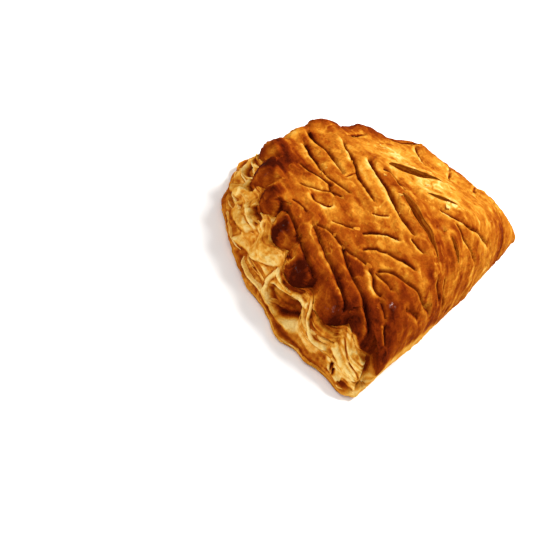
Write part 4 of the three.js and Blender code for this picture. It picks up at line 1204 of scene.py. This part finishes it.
fine_ribs = 1 - 2 * np.abs(flat_chance(length * 0.2, drift + 0.3 * height, 0.62, 111))
fanned = 1 - ease((length - 12) / 8)
fine_relief = (0.2 + 0.16 * fanned) * fine_ribs + 0.15 * flat_chance(length, up_mm, 1.0, 108)
height = height + smooth_place * fine_relief
ridge_and_hollow_shade = height - soften(height, 4, 4)
near_hollow = (0.36 * ease((46 - length) / 12) - 0.22) * (length < 50)
tone = mix(tone, hollow_tone + near_hollow, hollowed)
# painted shade and highlight: the hollows of the folds are painted darker and their ridges lighter
tone = tone - 0.48 * np.clip(ridge_and_hollow_shade, -0.8, 0.4) + 0.12 * rough(length, up_mm, 0, 8, 109)
tone = tone + 0.12 * ease((share - 0.6) / 0.12) * (1 - ease((length - 36) / 6))
# darker low down along the middle lobes: painted shade under them
shade_under_middle_lobes = ease((length - 48) / 10) * (1 - ease((length - 90) / 15))
tone = tone + 0.15 * (1 - ease((share - 0.32) / 0.1)) * shade_under_middle_lobes
tone = tone + 0.07 * flat_chance(length, up_mm, 1.5, 110)
# painted highlight and shade: the fine ribs are painted lighter on their crests and darker between them
tone = tone - (0.04 + 0.07 * fanned) * fine_ribs * smooth_place

rim_x, rim_deep = outline_at(length)
hem_x, hem_deep = stand_back(rim_x, rim_deep, rim_back(length, pressed))
hem_z = top_height(hem_x, hem_deep)
ends = ease(np.minimum(length, ARC_LENGTH - length) / 2)
tucked = ease(climb / 0.04) * ease((1 - climb) / 0.05) * ends
stand = mix(BAND_SINK, BAND_STAND + height, tucked)
edge = edge_back(length, share, pressed)
band_x, band_deep = stand_back(rim_x, rim_deep, edge - STAND_OUT * stand)
band_z = share * hem_z + STAND_UP * np.maximum(stand, 0)
wandered = wander(band_x.ravel(), band_deep.ravel(), band_z.ravel()).reshape(*length.shape, 3)
band = np.stack([band_x, band_deep, band_z], axis=-1) + wandered
behind_x, behind_deep = stand_back(rim_x, rim_deep, edge + BAND_THICK + 3 * hollowed)
behind = np.stack([behind_x, behind_deep, share * hem_z], axis=-1)
pick = np.linspace(FOLD_FRONT - 1, 0, FOLD_BEHIND).astype(int)
band = np.concatenate([band, behind[pick[:-1]], band[:1]])
tone = np.concatenate([tone, tone[pick[:-1]], tone[:1]])
for end in (0, -1):
    band[:, end] = band[:, end].mean(axis=0)
band_x, band_deep, band_z = band.reshape(-1, 3).T
place_points(fold_band, band_x, band_deep, np.maximum(band_z, 0.2))
store(fold_band, "brown", np.clip(tone.ravel(), 0, 1))
merge_and_face_out(fold_band)
smooth_but_sharp(fold_band, 60)
print("folds:", len(FOLDS), "with", triangles(fold_band), "triangles")

# %% [markdown]
# ## The opened layers
#
# Laminated dough is hundreds of sheets thinner than paper. Along the cut edge
# they part, and what shows is a stack of crisp leaves that sweep in and out
# with the lobes, touch, and part again. Each leaf is a long strip of a grid
# primitive, laid along the edge and given thickness with Solidify. Cutting
# slots into the crust would need far more faces and look less thin.

# %% Leaves of the cut edge
LEAF_STEP = 0.62          # mm between the points along a leaf
LEAF_REACH = [-3.0, -1.3, -0.35, 0.0]    # mm from the leaf's tip
LEAF_TUCK, LEAF_CURL, LEAF_FINE = 1.6, 0.7, 0.14
leaf_rng = np.random.default_rng(11)


def leaf(number, share, stick_out, thick, start, end, brown_by):
    """One thin leaf of the edge, from start to end along it."""
    columns = max(8, int((end - start) / LEAF_STEP))
    piece = grid_primitive(f"leaf_{number}", columns, len(LEAF_REACH))
    length = np.tile(np.linspace(start, end, columns), len(LEAF_REACH))
    reach = np.repeat(LEAF_REACH, columns)
    px, pd = outline_at(length)
    own, pressed = 9.1 * number, valley(length)
    top_px, top_pd = stand_back(px, pd, rim_back(length, pressed))
    lift = 0.05 * rough(length, share * 30, 0, 24, 70) + 0.035 * flat_chance(length, own, 14, 71)
    level = np.clip(share + lift * ease((share - 0.1) / 0.15), 0.03, 0.9)
    ends = ease(np.minimum(length - start, end - length) / 6)
    out = stick_out + 0.6 * rough(length, own, 0, 7, 72) + 0.25 * flat_chance(length, own, 1.5, 73)
    out = out * ends - LEAF_TUCK * (1 - ends)
    hollowed, hollow_tone = pocket(length, level, 2 * rough(length, own, 0, 5, 78))
    out = out - POCKET_DEEP * hollowed
    qx, qd = stand_back(px, pd, edge_back(length, level, pressed) - out - reach)
    tip = np.clip((reach + 1.3) / 1.3, 0, 1)
    curl = LEAF_CURL * tip ** 2 * rough(length, own, 0, 10, 74)
    fine = LEAF_FINE * chance(length, reach * 2, own, 1.4, 75)
    qz = level * top_height(top_px, top_pd) + curl + fine
    strip = np.column_stack([qx, qd + FOLD_Y, np.maximum(qz, 0.3)]) + wander(qx, qd, qz)
    write_points(piece, strip * MM)
    tone = brown_by + 0.14 * rough(length, own, 0, 18, 76) + 0.14 * tip * rough(length, own, 0, 5, 77)
    tone = tone + 0.40 * ease((level - 0.58) / 0.12) * (1 - pressed) * ease((150 - length) / 60)
    tone = mix(tone, hollow_tone, hollowed)
    store(piece, "brown", np.clip(tone, 0, 1))
    apply_modifier(piece, "SOLIDIFY", thickness=thick * MM, offset=0)
    apply_modifier(piece, "BEVEL", width=0.3 * thick * MM, segments=1, limit_method="ANGLE")
    return piece


# bands of leaves: lowest and highest share, how many, how far out, browning
LEAF_BANDS = [(0.05, 0.13, 6, (-0.2, 0.4), (0.16, 0.40)), (0.20, 0.32, 14, (0.4, 1.5), (0.06, 0.30)),
              (0.32, 0.48, 16, (0.4, 1.6), (0.04, 0.26)), (0.48, 0.64, 14, (0.4, 1.5), (0.04, 0.30))]
leaves = []
for low, high, count, sticks, tones in LEAF_BANDS:
    for number in range(count):
        share = low + (high - low) * (number + leaf_rng.uniform(0, 1)) / count
        span = leaf_rng.uniform(9, 40)
        start = leaf_rng.uniform(0.3 - 0.4 * span, ARC_LENGTH - 0.6 * span)
        end = min(start + span, ARC_LENGTH - leaf_rng.uniform(0.3, 3))
        start = max(start, leaf_rng.uniform(0.3, 2))
        thick = leaf_rng.uniform(0.22, 0.5) if leaf_rng.uniform() < 0.8 else leaf_rng.uniform(0.7, 1.1)
        leaves.append(leaf(len(leaves), share, leaf_rng.uniform(*sticks), thick, start, end,
                           leaf_rng.uniform(*tones)))
layers = join("edge_leaves", leaves)
smooth_but_sharp(layers, 50)
print("leaves:", len(leaves), "with", triangles(layers), "triangles")

# %% [markdown]
# ## Loose flakes
#
# Thin chips of the outermost layer curl up where the knife tore them, at the
# ends of the scores and on the flaky places. One chip is modelled once, from a
# small grid primitive, and copied. Each copy is bent its own way and pushed
# into the crust by its root. Most lie where a mark ends; some lie by chance.

# %% Flakes on the crust
# flakes that stand out most: x, deep, length, width, lift, direction in degrees
FLAKES = [
    (-31, 34, 4.2, 2.2, 0.9, 150), (-42.5, 22, 4.0, 1.8, 1.0, 100), (-33, 9, 2.6, 1.4, 0.6, 60),
    (-61, 16, 2.4, 1.4, 0.7, 120), (-53, 11, 2.2, 1.2, 0.6, 80), (-38.5, 38, 2.6, 1.6, 0.6, 140),
    (-40.5, 34.5, 2.4, 1.4, 0.7, 200), (-15, 76, 3.2, 1.8, 0.9, 100), (-28.5, 74, 2.8, 1.6, 0.9, 60),
    (-6, 33.5, 3.0, 1.6, 0.8, 250), (-5.5, 31, 2.4, 1.4, 0.7, 280), (2, 43, 3.2, 1.4, 0.8, 230),
    (-59.5, 17, 2.0, 1.2, 0.6, 30), (-63, 21, 2.6, 1.4, 0.9, 300), (24, 46, 4.5, 2.4, 0.8, 190),
    (22, 42, 3.6, 2.2, 0.7, 220), (45, 35, 3.4, 2.0, 0.6, 200), (14, 30, 4.0, 2.0, 0.7, 200),
    (5, 19, 4.2, 1.8, 0.9, 200), (-8, 14.5, 3.0, 2.2, 1.0, 250), (-27, 47, 3.0, 1.6, 0.7, 160),
]
FLAKE_COUNT, FLAKE_SHARE, FLAKE_THICK = 14, 0.22, 0.22
chip = grid_primitive("chip", 7, 5)
chip_u, chip_v = (read_points(chip)[:, :2]).T
flake_rng = np.random.default_rng(3)


def flake(number, x, deep, long, wide, lift, degrees):
    """One curled chip, its root in the crust and its tip raised, or None off the crust."""
    above = Vector((x, deep + FOLD_Y, 80)) * MM
    found, spot, facing_out, _ = crust.ray_cast(above, Vector((0, 0, -1)))
    if not found or spot.z < 8 * MM:
        return None
    out = np.array(facing_out)
    way = np.array([math.cos(math.radians(degrees)), math.sin(math.radians(degrees)), 0])
    way = way - out * (way @ out)
    way = way / np.linalg.norm(way)
    across = np.cross(out, way)
    forward = chip_u + 0.18 * flat_chance(chip_v * 2, 0 * chip_v + number, 1, 121)
    narrow = 1 - 0.35 * np.maximum(chip_u, 0) ** 2 - 0.25 * np.maximum(-chip_u, 0) ** 2
    rise = -0.3 + 0.7 * lift * ((chip_u + 1) / 2) ** 1.6 - 0.25 * chip_v ** 2
    rise = rise + 0.15 * chance(chip_u * 2, chip_v * 2, 0 * chip_u + number, 1, 122)
    piece = chip.copy()
    piece.data = chip.data.copy()
    piece.name = f"flake_{number}"
    bpy.context.scene.collection.objects.link(piece)
    points = (np.array(spot)[None, :] / MM + forward[:, None] * long / 2 * way
              + (chip_v * narrow)[:, None] * wide / 2 * across + rise[:, None] * out)
    write_points(piece, points * MM)
    near_brown = float(browning_of_top(points[:1, 0], points[:1, 1], points[:1, 2])[0])
    tone = 0.85 * near_brown + flake_rng.uniform(-0.14, 0.0) + 0.1 * (1 - chip_u) / 2
    store(piece, "brown", np.clip(tone, 0, 1))
    apply_modifier(piece, "SOLIDIFY", thickness=FLAKE_THICK * MM, offset=0)
    return piece


places = list(FLAKES)
for line, width, depth in SCORES:
    for x, deep in (line[0], line[-1], line[len(line) // 2]):
        if flake_rng.uniform() < FLAKE_SHARE:
            long = flake_rng.uniform(1.2, 2.8)
            places.append((x + flake_rng.normal(0, 0.8), deep + flake_rng.normal(0, 0.8), long,
                           long * flake_rng.uniform(0.4, 0.7), flake_rng.uniform(0.3, 0.8),
                           flake_rng.uniform(0, 360)))
for _ in range(FLAKE_COUNT):
    angle, reach = flake_rng.uniform(0, math.pi), math.sqrt(flake_rng.uniform(0.05, 0.98))
    long = flake_rng.uniform(0.9, 2.4)
    places.append((-HALF * reach * math.cos(angle), DEPTH * reach * math.sin(angle) * 0.97, long,
                   long * flake_rng.uniform(0.4, 0.8), flake_rng.uniform(0.25, 0.6),
                   flake_rng.uniform(0, 360)))
flakes = [flake(number, *place) for number, place in enumerate(places)]
bpy.data.objects.remove(chip)
flakes = join("loose_flakes", [piece for piece in flakes if piece])
smooth_but_sharp(flakes, 50)
print("flakes:", len(places), "with", triangles(flakes), "triangles")

# %% [markdown]
# ## The fruit filling
#
# The cooked fruit is a soft, lumpy cushion that fills the hollow. Only its top
# shows, down in the slashes, but it runs through the whole turnover. It has
# the same form as the hollow, a little smaller, so it touches no dough, and
# its surface is made of small soft lumps.

# %% Filling
def fruit_lumps(x, deep):
    soft = 0.5 * np.sin(0.42 * x + 0.3 * deep) + 0.3 * np.sin(0.7 * deep - 0.35 * x + 1)
    return 0.25 * soft + 0.5 * np.abs(flat_chance(x, deep, 2.6, 81)) - 0.35


filling = inside_shape("cooked_fruit", 160, 110, CLEARANCE, FILLING_SAG, fruit_lumps)
merge_and_face_out(filling)
select_only(filling)
bpy.ops.object.shade_smooth()
print("filling:", triangles(filling), "triangles")

# %% [markdown]
# ## Floor and light
#
# The pastry lies on a pale floor. A warm, fairly small lamp, high up beyond the
# far end and on the fold's side, gives the soft shadow, and two larger, weaker
# ones fill it. A picture of a room could light it too, but lamps can be aimed.

# %% Floor and light
FLOOR_SIZE, SKY_STRENGTH = 6, 0.35

deselect_all()
bpy.ops.mesh.primitive_plane_add(size=FLOOR_SIZE)
floor = bpy.context.object
floor.name = "floor"
floor_paint = bpy.data.materials.new("pale floor")
floor_paint.use_nodes = True
floor_paint.node_tree.nodes["Principled BSDF"].inputs["Base Color"].default_value = (0.9, 0.9, 0.9, 1)
floor.data.materials.append(floor_paint)


def soft_light(name, place, size, watts, colour=(1, 1, 1)):
    """A round lamp aimed at the pastry."""
    light = bpy.data.lights.new(name, "AREA")
    light.shape = "DISK"
    light.size = size
    light.energy = watts
    light.color = colour
    lamp = bpy.data.objects.new(name, light)
    lamp.location = Vector(place)
    lamp.rotation_euler = (-Vector(place)).to_track_quat("-Z", "Y").to_euler()
    bpy.context.scene.collection.objects.link(lamp)


soft_light("key_light", (0.62, -0.28, 0.86), 0.45, 19, (1.0, 0.985, 0.96))
soft_light("camera_light", (-0.85, -0.05, 0.7), 0.8, 6.5)
soft_light("left_light", (-0.5, 0.8, 0.6), 0.7, 3.5)
world = bpy.data.worlds.new("studio")
world.use_nodes = True
world.node_tree.nodes["Background"].inputs["Color"].default_value = (1, 1, 1, 1)
world.node_tree.nodes["Background"].inputs["Strength"].default_value = SKY_STRENGTH
bpy.context.scene.world = world
bpy.context.scene.view_settings.view_transform = "Standard"
print("lamps:", len(bpy.data.lights))

# %% [markdown]
# ## The look of the crust
#
# Browning runs from cream through gold and chestnut to nearly black, so one
# Color Ramp reads the kept number. Noise of three sizes breaks it up: cloudy
# patches, streaks along the grain of the dough, and pinpoint blisters. The
# egg wash gives a broken, soft shine that is stronger where it is darker. Where
# it pooled and boiled it dried to clear, glossy flecks, made by a coat.

# %% Crust materials
TONES = [(0.0, (0.78, 0.54, 0.18)), (0.13, (0.70, 0.385, 0.075)), (0.28, (0.60, 0.240, 0.022)),
         (0.42, (0.43, 0.128, 0.0085)), (0.56, (0.30, 0.060, 0.0036)), (0.70, (0.19, 0.0265, 0.0022)),
         (0.84, (0.12, 0.0132, 0.0018)), (1.0, (0.045, 0.0048, 0.0014))]


def new_node(tree, kind, **settings):
    node = tree.nodes.new(kind)
    for key, value in settings.items():
        setattr(node, key, value)
    return node


def add_noise(tree, place, size_mm, detail=3.0, rough_share=0.55, stretch=(1, 1, 1), turn=0.0):
    """A Noise texture whose swells are about size_mm across."""
    mapping = new_node(tree, "ShaderNodeMapping")
    mapping.inputs["Scale"].default_value = stretch
    mapping.inputs["Rotation"].default_value = (0, 0, turn)
    noise = new_node(tree, "ShaderNodeTexNoise")
    noise.inputs["Scale"].default_value = 1 / (size_mm * MM)
    noise.inputs["Detail"].default_value = detail
    noise.inputs["Roughness"].default_value = rough_share
    tree.links.new(place, mapping.inputs["Vector"])
    tree.links.new(mapping.outputs["Vector"], noise.inputs["Vector"])
    return noise.outputs["Fac"]


def spread(tree, value, low, high, to_low, to_high):
    node = new_node(tree, "ShaderNodeMapRange")
    node.inputs["From Min"].default_value = low
    node.inputs["From Max"].default_value = high
    node.inputs["To Min"].default_value = to_low
    node.inputs["To Max"].default_value = to_high
    tree.links.new(value, node.inputs["Value"])
    return node.outputs["Result"]


def add(tree, first, second, operation="ADD"):
    node = new_node(tree, "ShaderNodeMath", operation=operation)
    for slot, value in enumerate((first, second)):
        if isinstance(value, (int, float)):
            node.inputs[slot].default_value = value
        else:
            tree.links.new(value, node.inputs[slot])
    return node.outputs["Value"]


def tone_ramp(tree, value, tones):
    ramp = new_node(tree, "ShaderNodeValToRGB")
    while len(ramp.color_ramp.elements) < len(tones):
        ramp.color_ramp.elements.new(0.5)
    for element, (place, colour) in zip(ramp.color_ramp.elements, tones):
        element.position = place
        element.color = (*colour, 1)
    tree.links.new(value, ramp.inputs["Fac"])
    return ramp.outputs["Color"]


def bump_normal(tree, height, strength, distance_mm):
    node = new_node(tree, "ShaderNodeBump")
    node.inputs["Strength"].default_value = strength
    node.inputs["Distance"].default_value = distance_mm * MM
    tree.links.new(height, node.inputs["Height"])
    return node.outputs["Normal"]


def start_material(name):
    """A new material, its nodes, its shader and the place on the piece."""
    look = bpy.data.materials.new(name)
    look.use_nodes = True
    tree = look.node_tree
    place = new_node(tree, "ShaderNodeTexCoord").outputs["Object"]
    return look, tree, tree.nodes["Principled BSDF"], place


def wear(piece, look):
    piece.data.materials.clear()
    piece.data.materials.append(look)


def dough_material(name, mottle, wrinkle, shine):
    """Baked dough: how mottled it is, how strong its fine wrinkles, how it shines."""
    look, tree, shader, place = start_material(name)
    brown = new_node(tree, "ShaderNodeAttribute", attribute_name="brown").outputs["Fac"]
    clouds = add_noise(tree, place, 5, 5, 0.6)
    grain = add_noise(tree, place, 1.5, 4, 0.62, (0.25, 1, 1), -0.9)
    pips = add_noise(tree, place, 0.9, 3)
    tone = add(tree, brown, spread(tree, clouds, 0.32, 0.68, -mottle, mottle))
    tone = add(tree, tone, spread(tree, grain, 0.32, 0.68, -0.8 * mottle, 0.8 * mottle))
    tone = add(tree, tone, spread(tree, pips, 0.56, 0.72, 0, 0.9 * mottle))
    tone = add(tree, tone, spread(tree, pips, 0.40, 0.26, 0, -1.1 * mottle))
    tree.links.new(tone_ramp(tree, tone, TONES), shader.inputs["Base Color"])
    gloss = add(tree, spread(tree, tone, 0.2, 0.9, 0.62, 0.62 - shine),
                spread(tree, grain, 0.3, 0.7, -0.08, 0.08))
    tree.links.new(gloss, shader.inputs["Roughness"])
    shader.inputs["Specular IOR Level"].default_value = 0.02
    glazed = new_node(tree, "ShaderNodeAttribute", attribute_name="glazed").outputs["Fac"]
    bubbles = add_noise(tree, place, 1.3, 1)
    flecks = spread(tree, bubbles, 0.57, 0.66, 0, 1)
    tree.links.new(add(tree, glazed, flecks, "MULTIPLY"), shader.inputs["Coat Weight"])
    shader.inputs["Coat Roughness"].default_value = 0.1
    shader.inputs["IOR"].default_value = 1.05
    height = add(tree, spread(tree, pips, 0.3, 0.7, 0, 0.6), spread(tree, grain, 0.3, 0.7, 0, 1))
    tree.links.new(bump_normal(tree, height, wrinkle, 0.45), shader.inputs["Normal"])
    tree.links.new(bump_normal(tree, bubbles, 1, 1.0), shader.inputs["Coat Normal"])
    return look


crust_look = dough_material("baked crust", 0.06, 0.75, 0.3)
layer_look = dough_material("flaky layers", 0.08, 0.6, 0.12)
wear(crust, crust_look)
for piece in (fold_band, layers, flakes):
    wear(piece, layer_look)
print("looks:", crust_look.name, "and", layer_look.name)

# %% [markdown]
# ## The look of the filling
#
# Cooked fruit is translucent and wet. Its brown is duller than the crust's,
# with paler grains of fruit in a darker syrup, so a Voronoi texture makes the
# grains and a low roughness the wet shine.

# %% Filling material
fruit_look, tree, shader, place = start_material("cooked fruit")
grains = new_node(tree, "ShaderNodeTexVoronoi")
grains.inputs["Scale"].default_value = 1 / (1.3 * MM)
tree.links.new(place, grains.inputs["Vector"])
pulp = add(tree, spread(tree, grains.outputs["Distance"], 0.1, 0.8, 0.1, 0.8),
           spread(tree, add_noise(tree, place, 4), 0.3, 0.7, -0.2, 0.2))
FRUIT_TONES = [(0.0, (0.62, 0.42, 0.18)), (0.4, (0.34, 0.19, 0.065)), (1.0, (0.12, 0.045, 0.012))]
tree.links.new(tone_ramp(tree, pulp, FRUIT_TONES), shader.inputs["Base Color"])
shader.inputs["Roughness"].default_value = 0.3
shader.inputs["Specular IOR Level"].default_value = 0.4
tree.links.new(bump_normal(tree, grains.outputs["Distance"], 0.6, 0.4), shader.inputs["Normal"])
wear(filling, fruit_look)
print("look:", fruit_look.name)

# %% [markdown]
# ## Riding on the frame
#
# Nothing on a turnover moves, so every piece rides the one fixed frame. The
# crust and the filling stand in for the two plain solids. The folds, leaves
# and flakes belong to the crust. Parenting by hand would lose that record.

# %% Riding on the frame
for piece in (crust, fold_band, layers, flakes, filling):
    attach(piece, "root")
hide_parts("crust")
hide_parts("filling")
